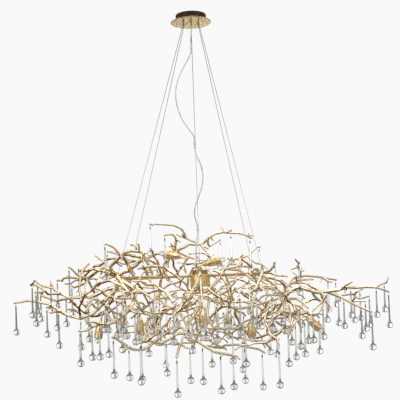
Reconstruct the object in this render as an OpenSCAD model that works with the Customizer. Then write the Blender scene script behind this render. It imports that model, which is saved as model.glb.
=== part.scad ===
// Branch chandelier: cast brass boughs on a steel-wire suspended frame, with glass drops.
// Millimetres. Origin at the centre of the ceiling face, +Z up, +X to the right, -Y to the front.

/* [Suspension] */
// Height from the ceiling to the centre of the hub
hang_h = 1300; // [1200:10:1500]
// Diameter of the steel suspension wires
wire_d = 1.5; // [1:0.1:2.5]
// Diameter of the clear supply cord
cord_d = 6; // [4:0.5:8]

/* [Canopy] */
// Outer diameter of the drum
drum_d = 150; // [130:1:180]
// Height of the drum
drum_h = 34; // [28:1:50]
// Wall of the drum
drum_wall = 1.5; // [1:0.1:2.5]
// Diameter of the hammered plate under the drum
plate_d = 200; // [180:1:240]
// Thickness of the hammered plate
plate_t = 3; // [2:0.5:5]
// Width of each arm of the ceiling bracket
bracket_w = 28; // [20:1:32]
// Sheet thickness of the ceiling bracket
bracket_t = 2.5; // [2:0.5:4]
// Height of the ears of the ceiling bracket
ear_h = 15; // [12:1:20]
// Pitch circle of the ceiling screw holes
fix_pcd = 90; // [80:1:110]
// Diameter of the ceiling screw holes
fix_d = 5.5; // [4:0.1:7]
// Diameter of the cable entry in the bracket
entry_d = 24; // [16:1:30]
// Diameter of the drum screws
screw_d = 4; // [3:0.5:5]

/* [Frame] */
// Side of the square frame tubes
bar = 12; // [10:1:16]
// Distance of the left cross bar from the hub
bar_left_x = 372; // [350:1:380]
// Distance of the right cross bar from the hub
bar_right_x = 281; // [275:1:290]
// Distance from the hub to the wire anchors, front and back
anchor_y = 300; // [280:5:320]
// Length of each cross bar
cross_l = 640; // [620:5:700]

/* [Hub] */
// Diameter of the hub can
can_d = 98; // [90:1:110]
// Height of the hub can
can_h = 58; // [50:1:64]
// Diameter of the hub lid
lid_d = 76; // [60:1:84]
// Height of the hub lid
lid_h = 24; // [16:1:30]
// Wall of the can and lid
can_wall = 1.5; // [1:0.1:3]
// Diameter of the threaded tube through the hub
rod_d = 10; // [8:1:14]

/* [Boughs] */
// Thickness of the boughs, as a multiple of the drawn one
girth = 1.18; // [0.9:0.01:1.3]

/* [Lamps] */
// Diameter of a lamp sleeve at its mouth
sleeve_d = 40; // [36:1:46]
// Length of a lamp sleeve
sleeve_l = 88; // [84:1:96]
// Wall of a lamp sleeve
sleeve_wall = 1.5; // [1:0.1:2]
// Diameter of the lamp arms
arm_d = 8; // [6:0.5:9]
// Diameter of the lampholder body
holder_d = 30; // [28:1:32]
// Length of the lampholder body
holder_l = 36; // [30:1:38]
// Diameter of the bulb globe
bulb_d = 27; // [24:1:29]

/* [Drops] */
// Diameter of the glass ball
ball_d = 33; // [28:1:38]
// Diameter of the stem where it meets the ball
stem_d = 8; // [6:0.5:10]
// Length of a short drop, from its hole to the middle of its ball
drop_short = 118; // [100:1:125]
// Length of a middle drop
drop_mid = 130; // [120:1:140]
// Length of a long drop
drop_long = 148; // [135:1:160]
// Diameter of the hook wire
hook_wire_d = 1; // [0.8:0.1:1.2]
// Radius of the hook ring, to the middle of its wire
hook_r = 3.6; // [3.4:0.1:4.5]

/* [Hidden] */
$fn = 48;

// Colours
brass = [0.72, 0.55, 0.29];
dark_brass = [0.42, 0.30, 0.17];
bronze = [0.24, 0.18, 0.13];
steel = [0.72, 0.73, 0.74];
glass = [0.85, 0.90, 0.92, 0.45];
ceramic = [0.93, 0.92, 0.88];

// Levels
hub_z = -hang_h;
can_top = 20;
bar_z = can_top - bar / 2;
drum_z = -drum_h;
plate_z = drum_z - plate_t;
fit = 0.1;
gap = 0.3;

// Wire exits on the canopy, and the cord exit in front of the centre wire
exit_x = 36;
exit_y = 30;
cord_y = -18;
cord_hub_x = -16;
cord_hub_y = -18;
WIRE_SPOTS = [[-1, -1], [-1, 1], [1, -1], [1, 1]];
SCREW_ANGLES = [78, 198, 318];

// Eye point of the front elevation in which the branch points are drawn
eye_y = 4280;
eye_z = -100;

// Curves and vectors
function lerp(a, b, t) = a + (b - a) * t;
function unit(v) = v / norm(v);
function placed(p) = let (k = 1 + p[1] / eye_y) [p[0] * k, p[1], hub_z + eye_z + (p[2] - eye_z) * k];
function tangents(p) = let (n = len(p) - 1) [for (i = [0:n]) unit(p[min(i + 1, n)] - p[max(i - 1, 0)])];
function across(v, t) = unit(v - (v * t) * t);
function first_side(t) = abs(t[1]) < 0.9 ? cross(t, [0, 1, 0]) : cross(t, [1, 0, 0]);
function sides_along(t) = [for (i = 0, v = unit(first_side(t[0])); i < len(t);
    i = i + 1, v = i < len(t) ? across(v, t[i]) : v) v];
function spline(a, b, c, d, t) = 0.5 * (2 * b + (c - a) * t + (2 * a - 5 * b + 4 * c - d) * t * t
    + (3 * b - a - 3 * c + d) * t * t * t);
function smooth_path(p, steps) = let (n = len(p) - 1) [for (i = [0:n - 1]) for (j = [0:steps - 1])
    spline(p[max(i - 1, 0)], p[i], p[i + 1], p[min(i + 2, n)], j / steps), p[n]];

// Points of a path with every second one left out where the path is nearly straight
thin_limit = 6;
function bend(p, i) = let (v = unit(p[i + 1] - p[i - 1]), w = p[i] - p[i - 1]) norm(w - (w * v) * v);
function kept(p, i) = i == 0 || i == len(p) - 1 || i % 2 == 1 || bend(p, i) > thin_limit;
function thinned(p) = [for (i = [0:len(p) - 1]) if (kept(p, i)) p[i]];
function on_rod(p, i) = kept(p, i) ? p[i]
    : let (v = unit(p[i + 1] - p[i - 1])) p[i - 1] + ((p[i] - p[i - 1]) * v) * v;

// Tube along a path whose thickness runs from d0 to d1, with a slight swell and a narrowed tip
module swept(path, d0, d1, sides, swell = 0, tip = 1) {
    n = len(path);
    t = tangents(path);
    u = sides_along(t);
    radii = [for (i = [0:n - 1]) lerp(d0, d1, i / (n - 1)) / 2 * (1 + swell * sin(200 * i))
        * (i == n - 1 ? tip : 1)];
    rings = [for (i = [0:n - 1]) for (j = [0:sides - 1]) let (a = 360 * j / sides)
        path[i] + radii[i] * (cos(a) * u[i] + sin(a) * cross(t[i], u[i]))];
    walls = [for (i = [0:n - 2]) for (j = [0:sides - 1]) let (k = (j + 1) % sides)
        [i * sides + j, (i + 1) * sides + j, (i + 1) * sides + k, i * sides + k]];
    ends = [[for (j = [0:sides - 1]) j], [for (j = [sides - 1:-1:0]) (n - 1) * sides + j]];
    polyhedron(points = rings, faces = concat(walls, ends), convexity = 4);
}

// Straight round bar from a to b
module rod_between(a, b, d) {
    v = b - a;
    translate(a) rotate([0, acos(v[2] / norm(v)), atan2(v[1], v[0])]) cylinder(h = norm(v), d = d);
}

// Supply cord, from the canopy gland to the hub gland, tied to the centre wire by three clips
CORD_POINTS = [[0, -18, -44], [0, -18, -62], [0, -17, -80], [-3, -10, -110], [-5, 0, -135],
    [-5, 0, -149], [-5, 0, -165], [-5, 0, -179], [-18, 0, -210], [-52, -5, -270], [-78, -10, -330],
    [-88, -12, -390], [-82, -10, -450], [-62, -6, -510], [-30, -3, -562], [-9, -1, -592],
    [-5, 0, -606], [-5, 0, -620], [-5, 0, -636], [-5, 0, -650], [2, -13, -690], [22, -14, -740], [31,
        -10, -790], [25, -9, -845],
    [10, -9, -890], [-8, -8, -935], [-16, -4, -975], [-12, -1, -1010], [-5, 0, -1036], [-5, 0, -1050],
    [-5, 0, -1066], [-5, 0, -1080], [-9, -4, -1110], [-14, -12, -1150], [-16, -17, -1190],
    [-16, -18, -1218], [-16, -18, -1234], [-16, -18, -1250]];
CLIP_Z = [-157, -628, -1058];

// Boughs. A shoot is [parent shoot, joint on the parent, thickness at its root, thickness at its tip,
// depth at its tip, points]. The first shoot has no parent (-1) and gives its own starting depth.
// Points are [x, z] from the centre of the hub, as seen in the front elevation.
LEFT_HIGH = [
    [-1, -60, 16, 8, -180, [[-378, 18], [-400, 34], [-430, 52], [-437, 75], [-420, 95], [-400, 112],
        [-385, 128], [-370, 140], [-350, 146], [-332, 150], [-315, 148], [-293, 143], [-273, 133],
        [-250, 133]]],
    [0, 6, 8, 5, -260, [[-400, 148], [-413, 158], [-418, 170], [-430, 181], [-447, 184], [-463, 188]]],
    [0, 6, 8, 5, 150, [[-405, 138], [-418, 145], [-434, 148], [-452, 149]]],
    [0, 11, 7, 5, 20, [[-296, 158], [-304, 170], [-318, 177], [-334, 178]]],
    [0, 11, 7, 6, -240, [[-293, 163], [-295, 183]]],
    [0, 12, 9, 8, -120, [[-272, 117], [-263, 102], [-253, 84], [-243, 67], [-238, 50], [-232, 32]]],
    [0, 7, 8, 7, 60, [[-380, 122], [-372, 107], [-358, 96], [-352, 82], [-337, 66], [-327, 50], [-318, 34]]],
    [5, 1, 6, 4, -250, [[-287, 107], [-300, 97], [-317, 87], [-328, 78]]]];
LEFT_STAR = [
    [-1, 60, 14, 12, 180, [[-372, 20], [-400, 40], [-437, 58], [-463, 72], [-480, 67], [-495, 59],
        [-513, 46], [-533, 32], [-550, 20]]],
    [0, 8, 9, 5, 330, [[-587, 22], [-610, 28], [-630, 30], [-653, 33], [-667, 27], [-675, 14], [-687, 18],
        [-700, 15]]],
    [0, 8, 8, 6, 60, [[-573, 27], [-590, 32], [-602, 43], [-613, 60], [-627, 73], [-642, 80]]],
    [0, 8, 7, 5, 400, [[-555, 33], [-567, 42], [-563, 55], [-577, 65], [-595, 70]]],
    [0, 8, 9, 7, 60, [[-560, 0], [-562, -17], [-563, -38], [-575, -52]]],
    [0, 8, 8, 8, 260, [[-540, -3], [-530, -23], [-520, -45], [-512, -62]]],
    [0, 8, 6, 6, 300, [[-523, 20], [-507, 16], [-493, 30], [-480, 44]]],
    [0, 3, 7, 5, 240, [[-455, 90], [-467, 107], [-483, 113], [-500, 120], [-506, 130], [-505, 140]]],
    [4, 1, 7, 5, 280, [[-577, -8], [-600, -17], [-617, -20], [-630, -10]]]];
LEFT_MID = [
    [-1, -120, 16, 5, 60, [[-378, 6], [-395, -15], [-417, -27], [-453, -33], [-487, -45], [-513, -60],
        [-540, -72], [-562, -68], [-600, -68], [-637, -72], [-657, -60], [-687, -47], [-700, -37],
        [-714, -22], [-753, -15], [-773, -7], [-787, 2], [-798, 13]]],
    [0, 11, 8, 5, -230, [[-703, -48], [-727, -47], [-747, -47], [-760, -33], [-783, -38], [-807, -37]]],
    [1, 4, 6, 5, -100, [[-770, -23], [-780, -15], [-800, -3], [-826, -1]]],
    [0, 9, 8, 6, 220, [[-660, -74], [-690, -80], [-705, -83], [-723, -72], [-740, -70], [-757, -63],
        [-775, -55], [-783, -40]]],
    [0, 13, 5, 4, 60, [[-724, -6], [-732, 15]]]];
LEFT_LOW = [
    [-1, -200, 14, 6, -30, [[-385, 6], [-410, -30], [-440, -62], [-475, -98], [-500, -130], [-525, -150],
        [-550, -163], [-590, -172], [-623, -167], [-647, -157], [-677, -145], [-697, -132], [-713, -116],
        [-727, -101], [-760, -88], [-800, -83], [-850, -76], [-877, -82], [-908, -84]]],
    [0, 11, 7, 6, -220, [[-715, -135], [-735, -140]]],
    [0, 13, 7, 5, -20, [[-740, -112], [-755, -113]]],
    [0, 7, 7, 5, -330, [[-593, -150], [-607, -133], [-620, -127], [-640, -123], [-660, -126]]],
    [0, 5, 6, 5, 60, [[-547, -145], [-577, -138], [-597, -134]]],
    [0, 4, 8, 6, -400, [[-520, -118], [-535, -100], [-550, -117], [-563, -135]]],
    [0, 3, 6, 6, -320, [[-500, -88], [-527, -80], [-545, -93], [-563, -108]]]];
LEFT_UNDER = [
    [-1, -325, 11, 5, -430, [[-364, -149], [-390, -172], [-412, -186], [-435, -198], [-457, -205],
        [-500, -203], [-522, -207], [-537, -217], [-550, -227], [-567, -233], [-600, -232]]],
    [0, 5, 8, 5, -520, [[-520, -194], [-540, -192]]],
    [0, 1, 6, 5, -470, [[-400, -157], [-425, -150], [-440, -137], [-453, -117]]],
    [0, 3, 6, 5, -250, [[-440, -180], [-455, -165], [-462, -150]]],
    [0, 7, 6, 5, -490, [[-545, -205], [-560, -190]]]];
LOW_LEFT = [
    [-1, -250, 15, 8, -420, [[-392, 6], [-350, -18], [-320, -40], [-315, -60], [-325, -90], [-337, -112],
        [-346, -138], [-325, -149], [-300, -151], [-280, -157], [-250, -163], [-230, -177], [-233, -197],
        [-225, -214]]],
    [0, 6, 11, 10, -330, [[-357, -146], [-367, -150]]],
    [0, 4, 7, 5, -480, [[-343, -83], [-367, -84], [-393, -84], [-413, -78]]],
    [0, 13, 8, 6, -600, [[-235, -227], [-250, -238], [-266, -262], [-280, -283], [-293, -295], [-305, -303]]],
    [0, 11, 7, 5, -520, [[-212, -174], [-195, -181]]],
    [0, 11, 7, 5, -250, [[-250, -181], [-263, -184]]],
    [0, 13, 6, 5, -480, [[-212, -230], [-198, -242]]],
    [0, 9, 7, 5, -640, [[-285, -140], [-275, -122], [-285, -108], [-310, -105]]]];
LOW_ARC = [
    [-1, -222, 12, 6, -480, [[-80, -264], [-100, -262], [-123, -263], [-150, -280], [-175, -300], [-197,
        -306],
        [-217, -301], [-237, -302], [-250, -308], [-263, -323], [-280, -335], [-300, -338], [-320, -337],
        [-340, -332], [-360, -322], [-383, -305], [-400, -297], [-420, -277], [-437, -270]]],
    [0, 0, 8, 5, 180, [[-90, -242], [-100, -234], [-113, -238], [-123, -250], [-137, -257], [-163, -263],
        [-183, -258]]],
    [0, 7, 7, 5, -430, [[-250, -296], [-267, -293], [-280, -293], [-300, -300]]],
    [0, 14, 6, 4, -520, [[-372, -330], [-388, -338]]]];
CROWN = [
    [-1, 0, 14, 6, 40, [[-235, 22], [-215, 22], [-195, 30], [-172, 42], [-161, 56], [-162, 72], [-155, 90],
        [-147, 112], [-137, 130], [-120, 141], [-90, 147], [-73, 157], [-60, 167], [-45, 173], [-28, 170],
        [-10, 167], [10, 168], [25, 176], [38, 188], [48, 200], [62, 209], [78, 217], [98, 223], [118, 225],
        [137, 223], [157, 219], [177, 214], [197, 217], [217, 210], [235, 205], [250, 200], [263, 203]]],
    [0, 16, 8, 5, 260, [[-3, 176], [-17, 184], [-37, 188], [-50, 197], [-63, 203], [-77, 205], [-93, 213],
        [-108, 223]]],
    [1, 5, 7, 5, -40, [[-67, 220], [-73, 237], [-83, 248], [-103, 260], [-123, 267], [-143, 273],
        [-163, 272], [-183, 270], [-207, 277], [-227, 273], [-238, 278]]],
    [0, 9, 9, 5, -260, [[-116, 165], [-110, 192], [-117, 213], [-127, 222], [-150, 222], [-168, 220]]],
    [0, 9, 6, 4, -60, [[-115, 160], [-133, 167], [-147, 161]]],
    [4, 2, 5, 4, -90, [[-137, 179]]],
    [0, 7, 6, 6, 60, [[-157, 125], [-161, 142], [-165, 160]]],
    [0, 16, 7, 5, -140, [[18, 152], [33, 137], [43, 123], [52, 108]]],
    [0, 19, 8, 5, 240, [[43, 175], [50, 158], [63, 163], [83, 175], [107, 188]]],
    [0, 9, 8, 6, 120, [[-105, 135], [-83, 121], [-50, 107], [-25, 98]]],
    [0, 29, 5, 4, 120, [[250, 193], [262, 190]]],
    [0, 24, 6, 5, -80, [[150, 229], [163, 234]]],
    [0, 7, 6, 5, 220, [[-170, 122], [-187, 121], [-205, 131], [-188, 141]]]];
CENTRE_LEFT = [
    [-1, 0, 9, 6, -320, [[-255, 18], [-262, 42], [-270, 58], [-280, 76]]],
    [0, 1, 8, 6, 190, [[-240, 44], [-222, 50], [-205, 60], [-190, 62]]],
    [1, 3, 6, 5, 100, [[-217, 75], [-232, 94]]],
    [0, 0, 9, 8, -200, [[-246, 4], [-234, -20], [-222, -40], [-220, -60], [-222, -85], [-226, -130],
        [-228, -150]]],
    [3, 2, 6, 5, -300, [[-262, -24], [-275, -12], [-285, -8]]],
    [3, 5, 7, 5, -330, [[-200, -90], [-180, -90], [-163, -86], [-148, -82], [-133, -70], [-118, -62]]],
    [0, 2, 5, 4, -300, [[-290, 62], [-305, 60]]]];
RIGHT_STAR = [
    [-1, -4, 13, 5, 270, [[105, 18], [112, 32], [118, 47], [133, 60], [150, 80], [167, 90], [182, 97],
        [200, 94], [217, 100], [237, 106], [250, 111], [257, 123], [267, 133], [280, 143], [296, 148]]],
    [0, 7, 8, 7, -200, [[197, 82], [193, 67], [180, 53], [160, 47], [140, 48]]],
    [0, 2, 8, 7, -240, [[140, 42], [167, 40], [190, 37], [210, 27], [222, 17], [237, 3], [253, -13],
        [265, -20]]],
    [0, 0, 12, 11, -170, [[98, 2], [88, -12], [72, -26], [52, -38], [38, -52]]],
    [0, 9, 6, 6, -60, [[250, 84], [263, 74], [277, 67], [303, 64]]],
    [4, 4, 6, 5, 80, [[306, 47], [308, 32]]],
    [4, 4, 6, 5, -180, [[317, 50], [330, 38]]]];
RIGHT_FORK = [
    [-1, -40, 14, 14, -20, [[284, 17], [300, 4], [325, -2], [350, -6], [370, -10], [390, -20], [408, -32],
        [416, -48], [417, -66], [413, -86]]],
    [0, 1, 9, 9, -110, [[315, -14], [330, -18], [350, -28], [367, -42], [383, -60], [397, -77], [406, -94]]],
    [0, 1, 9, 6, -300, [[310, 18], [327, 24], [343, 28], [356, 37], [363, 50], [367, 70]]],
    [0, 0, 6, 6, -240, [[285, 28], [280, 40], [263, 39], [247, 35], [240, 24], [250, 12]]],
    [0, 9, 9, 6, -380, [[390, -84], [373, -74], [357, -63], [340, -58], [323, -56], [300, -58],
        [275, -60], [250, -58]]],
    [0, 9, 8, 6, 160, [[385, -94], [360, -92], [337, -90], [307, -93], [290, -105]]]];
RIGHT_HIGH = [
    [-1, -20, 12, 6, 420, [[422, -50], [430, -44], [437, -36], [443, -24], [452, -13], [470, -11], [490, -5],
        [513, -2], [550, -7], [580, -10], [603, -17], [623, -21], [640, -27], [662, -28]]],
    [0, 2, 7, 6, -60, [[453, -35], [468, -32], [483, -24], [503, -26], [527, -22], [547, -20]]],
    [0, 6, 9, 5, -40, [[488, 15], [483, 33], [478, 47], [486, 60]]],
    [2, 1, 6, 5, 180, [[500, 20], [508, 24]]],
    [0, 10, 8, 8, 200, [[618, -30], [630, -38], [640, -38]]]];
RIGHT_MAIN = [
    [-1, -25, 16, 6, 20, [[418, -90], [438, -74], [460, -62], [480, -57], [497, -61], [517, -70], [543, -77],
        [567, -86], [590, -90], [613, -84], [653, -84], [673, -78], [693, -70], [710, -66], [733, -67],
        [757, -70], [780, -70], [813, -68], [833, -72], [857, -72], [873, -74], [890, -83], [905, -93],
        [920, -97]]],
    [0, 19, 7, 5, 100, [[867, -65], [880, -57], [897, -51], [910, -52]]],
    [0, 12, 8, 5, -230, [[710, -57], [727, -46], [741, -41]]],
    [0, 9, 10, 6, 280, [[630, -92], [653, -103], [670, -108], [690, -107], [707, -102], [727, -100],
        [747, -100], [763, -93], [777, -83], [790, -77]]],
    [3, 3, 9, 6, -260, [[682, -113], [697, -121], [713, -130], [730, -138], [743, -150], [763, -160],
        [780, -167], [800, -177], [817, -185], [832, -190]]],
    [4, 4, 6, 5, -60, [[753, -135], [780, -137], [805, -138]]],
    [3, 7, 6, 6, 120, [[755, -113], [767, -122], [790, -122], [813, -118], [823, -112]]],
    [0, 8, 9, 7, -320, [[605, -108], [600, -130], [593, -150], [583, -168], [570, -190]]],
    [0, 6, 9, 8, 260, [[553, -103], [570, -121], [582, -130]]],
    [7, 2, 6, 4, -340, [[590, -135], [577, -147], [560, -160], [543, -177]]]];
RIGHT_UNDER = [
    [-1, -22, 12, 7, -260, [[410, -93], [400, -125], [408, -150], [422, -172], [437, -185], [430, -207],
        [433, -230], [441, -250], [441, -267]]],
    [0, 1, 9, 7, -420, [[430, -112], [452, -112], [470, -114], [490, -123], [500, -137], [510, -150],
        [520, -160]]],
    [0, 4, 8, 6, -60, [[450, -203], [465, -212], [500, -217], [520, -205], [545, -198], [563, -197],
        [573, -210]]],
    [0, 4, 6, 5, -470, [[455, -178], [470, -176], [480, -165]]],
    [0, 4, 8, 6, 60, [[410, -203], [383, -208], [350, -208]]],
    [0, 7, 8, 6, -460, [[417, -248], [397, -247], [377, -233], [357, -217]]],
    [0, 7, 6, 5, 40, [[455, -232], [468, -212]]],
    [0, 1, 9, 7, 340, [[392, -140], [384, -155], [373, -168], [357, -179], [337, -184], [318, -191]]],
    [0, 0, 9, 7, 160, [[385, -108], [350, -116], [325, -124], [300, -132], [270, -137], [240, -140]]],
    [8, 3, 7, 6, 280, [[315, -150], [305, -165], [298, -180]]],
    [4, 3, 7, 5, 160, [[345, -222], [352, -237], [363, -257]]],
    [4, 3, 6, 5, -160, [[330, -223], [300, -224]]],
    [0, 7, 6, 5, -330, [[428, -262], [418, -274]]]];
BOTTOM = [
    [-1, 0, 16, 6, -560, [[0, -52], [4, -85], [0, -110], [-8, -135], [-20, -155], [-35, -178], [-50, -192],
        [-62, -206], [-70, -237], [-77, -262], [-77, -280], [-63, -296], [-43, -301], [-20, -307], [-3, -322],
        [17, -333], [40, -347], [60, -360], [80, -367], [117, -372], [150, -377], [167, -384], [178, -397]]],
    [0, 8, 11, 10, 160, [[-78, -212], [-87, -190], [-100, -171], [-117, -155], [-140, -140], [-170, -127],
        [-185, -108], [-205, -90]]],
    [1, 5, 8, 7, -180, [[-120, -126], [-83, -128], [-60, -120], [-45, -110]]],
    [0, 10, 7, 5, -330, [[-93, -281], [-103, -297], [-108, -313], [-97, -323], [-83, -333], [-63, -337],
        [-47, -341]]],
    [3, 3, 8, 9, -420, [[-116, -335], [-128, -355], [-128, -377]]],
    [0, 9, 8, 6, 60, [[-50, -268], [-20, -270], [3, -276], [30, -297], [50, -313], [70, -327], [90, -337],
        [113, -344]]],
    [5, 7, 8, 6, -300, [[110, -328], [143, -323], [177, -327], [203, -333], [230, -343], [250, -347],
        [273, -353], [293, -363], [304, -373]]],
    [0, 5, 7, 6, 120, [[-30, -190], [-27, -212], [-23, -237], [-22, -258]]]];
BOTTOM_RIGHT = [
    [-1, -18, 12, 8, -260, [[11, -88], [40, -102], [67, -112], [87, -117], [107, -130], [133, -143],
        [167, -147], [200, -150], [230, -147], [262, -140], [285, -148]]],
    [0, 5, 7, 6, -400, [[145, -120], [145, -95], [153, -80], [162, -65], [172, -48]]],
    [0, 6, 8, 6, 120, [[172, -163], [188, -168], [205, -175], [215, -190]]],
    [0, 1, 9, 6, -420, [[35, -130], [28, -165], [27, -193], [40, -223], [60, -243], [83, -248], [110, -248],
        [150, -251], [183, -248], [213, -242]]],
    [3, 5, 7, 7, -200, [[52, -263], [43, -281]]],
    [3, 7, 7, 6, -200, [[110, -264], [127, -277], [140, -288], [163, -291], [197, -298]]],
    [3, 3, 7, 6, 60, [[50, -207], [75, -200], [100, -192], [115, -180], [130, -170]]],
    [0, 2, 6, 5, 180, [[72, -130], [70, -160], [80, -188]]],
    [5, 5, 7, 5, -340, [[237, -307], [260, -313], [303, -318], [337, -313], [363, -307]]],
    [8, 3, 6, 5, -160, [[317, -338], [330, -351]]],
    [8, 5, 6, 5, -440, [[370, -330], [371, -353]]]];

// Sprigs: a stalk from the frame to a centre, then arms fanned all round it that droop to their tips.
// Points are [x, z, depth] here, since the arms run to the front and back as well.
arm_joints = 3;
function arm_point(c, reach, turn, j) = let (t = j / arm_joints, a = turn + 12 * sin(130 * j))
    [c[0] + reach * t * cos(a), c[1] + 0.22 * reach * sin(150 * t) - 0.30 * reach * t * t,
    c[2] + reach * t * sin(a)];
function sprig(stalk, arms, reach, turn) = let (c = stalk[len(stalk) - 1]) concat(
    [[-1, 0, 13, 11, 0, stalk]],
    [for (i = [0:arms - 1]) [0, len(stalk) - 1, 9, 5, 0,
        [for (j = [1:arm_joints]) arm_point(c, reach * (i % 2 == 0 ? 1 : 0.82), turn + 360 * i / arms, j)]]]);
FRONT_LEFT = sprig([[-402, 23, -316], [-392, 5, -345], [-370, -35, -395], [-345, -62, -445]], 5, 130, 36);
FRONT_MIDDLE = sprig([[0, 22, -288], [-16, -16, -322], [-46, -62, -385], [-66, -98, -440]], 5, 150, 12);
FRONT_RIGHT = sprig([[303.5, 23, -316], [300, 5, -345], [285, -35, -395], [265, -65, -445]], 5, 150, 10);
BACK_LEFT = sprig([[-346, 6, 316], [-345, -10, 345], [-348, -35, 400], [-360, -55, 455]], 5, 205, 15);
BACK_MIDDLE = sprig([[0, 7, 288], [-8, -15, 325], [-20, -50, 390], [-30, -75, 450]], 5, 200, 50);
BACK_RIGHT = sprig([[262, 6, 316], [268, -12, 345], [280, -40, 400], [295, -62, 455]], 5, 205, 5);

// Points of a shoot as drawn, its joints' real places, and its thickness at a joint
depth_wave = 7;
function point_at(p, y, wave) = [p[0], (len(p) > 2 ? p[2] : y + wave), p[1]];
function drawn(b, k) = let (s = b[k], p = s[5], n = len(p)) s[0] < 0
    ? [for (i = [0:n - 1]) point_at(p[i], lerp(s[1], s[4], i / (n - 1)), depth_wave * sin(50 * i))]
    : let (base = drawn(b, s[0])[s[1]]) concat([base], [for (i = [0:n - 1])
        point_at(p[i], lerp(base[1], s[4], (i + 1) / n), depth_wave * sin(50 * (i + 1)))]);
function shoot_path(b, k) = [for (p = drawn(b, k)) placed(p)];
function thickness(b, k, i) = girth * lerp(b[k][2], b[k][3], i / (len(drawn(b, k)) - 1));

// Swollen joint or bud of a shoot
module knot(p, d) {
    translate(p) hull() rotate_extrude($fn = 4) polygon([[0, -0.8 * d], [0.66 * d, 0], [0, 0.8 * d]]);
}

// One cast bough: its shoots, a knot at the root and at the main forks, and buds where shoots are few
stem_sides = 4;
twig_sides = 4;
module bough(b) {
    color(brass) union() {
        for (k = [0:len(b) - 1]) {
            path = shoot_path(b, k);
            root_d = girth * b[k][2];
            tip_d = girth * b[k][3];
            swept(thinned(path), root_d, tip_d, k == 0 ? stem_sides : twig_sides, 0.12, 0.75);
            if (k < 8) knot(path[0], root_d * 1.15);
            if (k + len(b) < 8) knot(path[len(path) - 1], tip_d * 1.3);
        }
    }
}

module bough_left_high() { bough(LEFT_HIGH); }
module bough_left_star() { bough(LEFT_STAR); }
module bough_left_mid() { bough(LEFT_MID); }
module bough_left_low() { bough(LEFT_LOW); }
module bough_left_under() { bough(LEFT_UNDER); }
module bough_low_left() { bough(LOW_LEFT); }
module bough_low_arc() { bough(LOW_ARC); }
module bough_crown() { bough(CROWN); }
module bough_centre_left() { bough(CENTRE_LEFT); }
module bough_right_star() { bough(RIGHT_STAR); }
module bough_right_fork() { bough(RIGHT_FORK); }
module bough_right_high() { bough(RIGHT_HIGH); }
module bough_right_main() { bough(RIGHT_MAIN); }
module bough_right_under() { bough(RIGHT_UNDER); }
module bough_bottom() { bough(BOTTOM); }
module bough_bottom_right() { bough(BOTTOM_RIGHT); }
module sprig_front_left() { bough(FRONT_LEFT); }
module sprig_front_middle() { bough(FRONT_MIDDLE); }
module sprig_front_right() { bough(FRONT_RIGHT); }
module sprig_back_left() { bough(BACK_LEFT); }
module sprig_back_middle() { bough(BACK_MIDDLE); }
module sprig_back_right() { bough(BACK_RIGHT); }

// Drops: [bough, shoot, joint, length]
DROPS_LEFT = [
    [LEFT_MID, 2, 4, drop_mid], [LEFT_MID, 1, 6, drop_mid], [LEFT_MID, 3, 8, drop_short],
    [LEFT_MID, 0, 17, drop_mid], [LEFT_LOW, 2, 2, drop_short], [LEFT_MID, 3, 3, drop_short],
    [LEFT_LOW, 0, 11, drop_long], [LEFT_MID, 0, 10, drop_short], [LEFT_STAR, 2, 6, drop_long],
    [LEFT_STAR, 8, 4, drop_mid], [LEFT_LOW, 0, 7, drop_short], [LEFT_LOW, 5, 3, drop_mid],
    [LEFT_UNDER, 0, 7, drop_short], [LEFT_UNDER, 0, 5, drop_mid], [LEFT_UNDER, 0, 4, drop_short],
    [LEFT_UNDER, 0, 1, drop_mid], [LOW_LEFT, 0, 7, drop_short], [LEFT_HIGH, 1, 6, drop_long],
    [LEFT_HIGH, 2, 4, drop_short], [LEFT_STAR, 6, 2, drop_short], [LOW_LEFT, 2, 4, drop_long],
    [LEFT_STAR, 1, 8, drop_short], [LEFT_MID, 4, 2, drop_mid], [LEFT_STAR, 3, 5, drop_short],
    [LOW_LEFT, 7, 4, drop_mid]];
DROPS_MIDDLE = [
    [LOW_LEFT, 3, 6, drop_long], [LOW_ARC, 2, 4, drop_long], [LOW_LEFT, 5, 2, drop_long],
    [LOW_ARC, 0, 4, drop_mid], [LOW_ARC, 1, 7, drop_long], [LOW_ARC, 0, 14, drop_short],
    [BOTTOM, 3, 6, drop_mid], [BOTTOM, 0, 14, drop_long], [BOTTOM_RIGHT, 4, 2, drop_short],
    [BOTTOM, 0, 18, drop_long], [BOTTOM, 0, 20, drop_short], [BOTTOM_RIGHT, 5, 5, drop_mid],
    [BOTTOM, 6, 4, drop_long], [BOTTOM_RIGHT, 3, 10, drop_long], [BOTTOM, 4, 3, drop_long],
    [BOTTOM_RIGHT, 10, 2, drop_long], [CROWN, 2, 11, drop_mid],
    [CROWN, 3, 6, drop_mid], [BOTTOM, 1, 8, drop_long], [BOTTOM, 0, 6, drop_mid],
    [BOTTOM, 0, 3, drop_mid], [RIGHT_STAR, 3, 3, drop_long], [BOTTOM_RIGHT, 0, 5, drop_short],
    [BOTTOM_RIGHT, 3, 8, drop_mid], [BOTTOM_RIGHT, 2, 3, drop_long], [CROWN, 0, 25, drop_mid],
    [CROWN, 8, 5, drop_mid], [CROWN, 10, 1, drop_long], [CENTRE_LEFT, 5, 6, drop_mid]];
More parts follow.
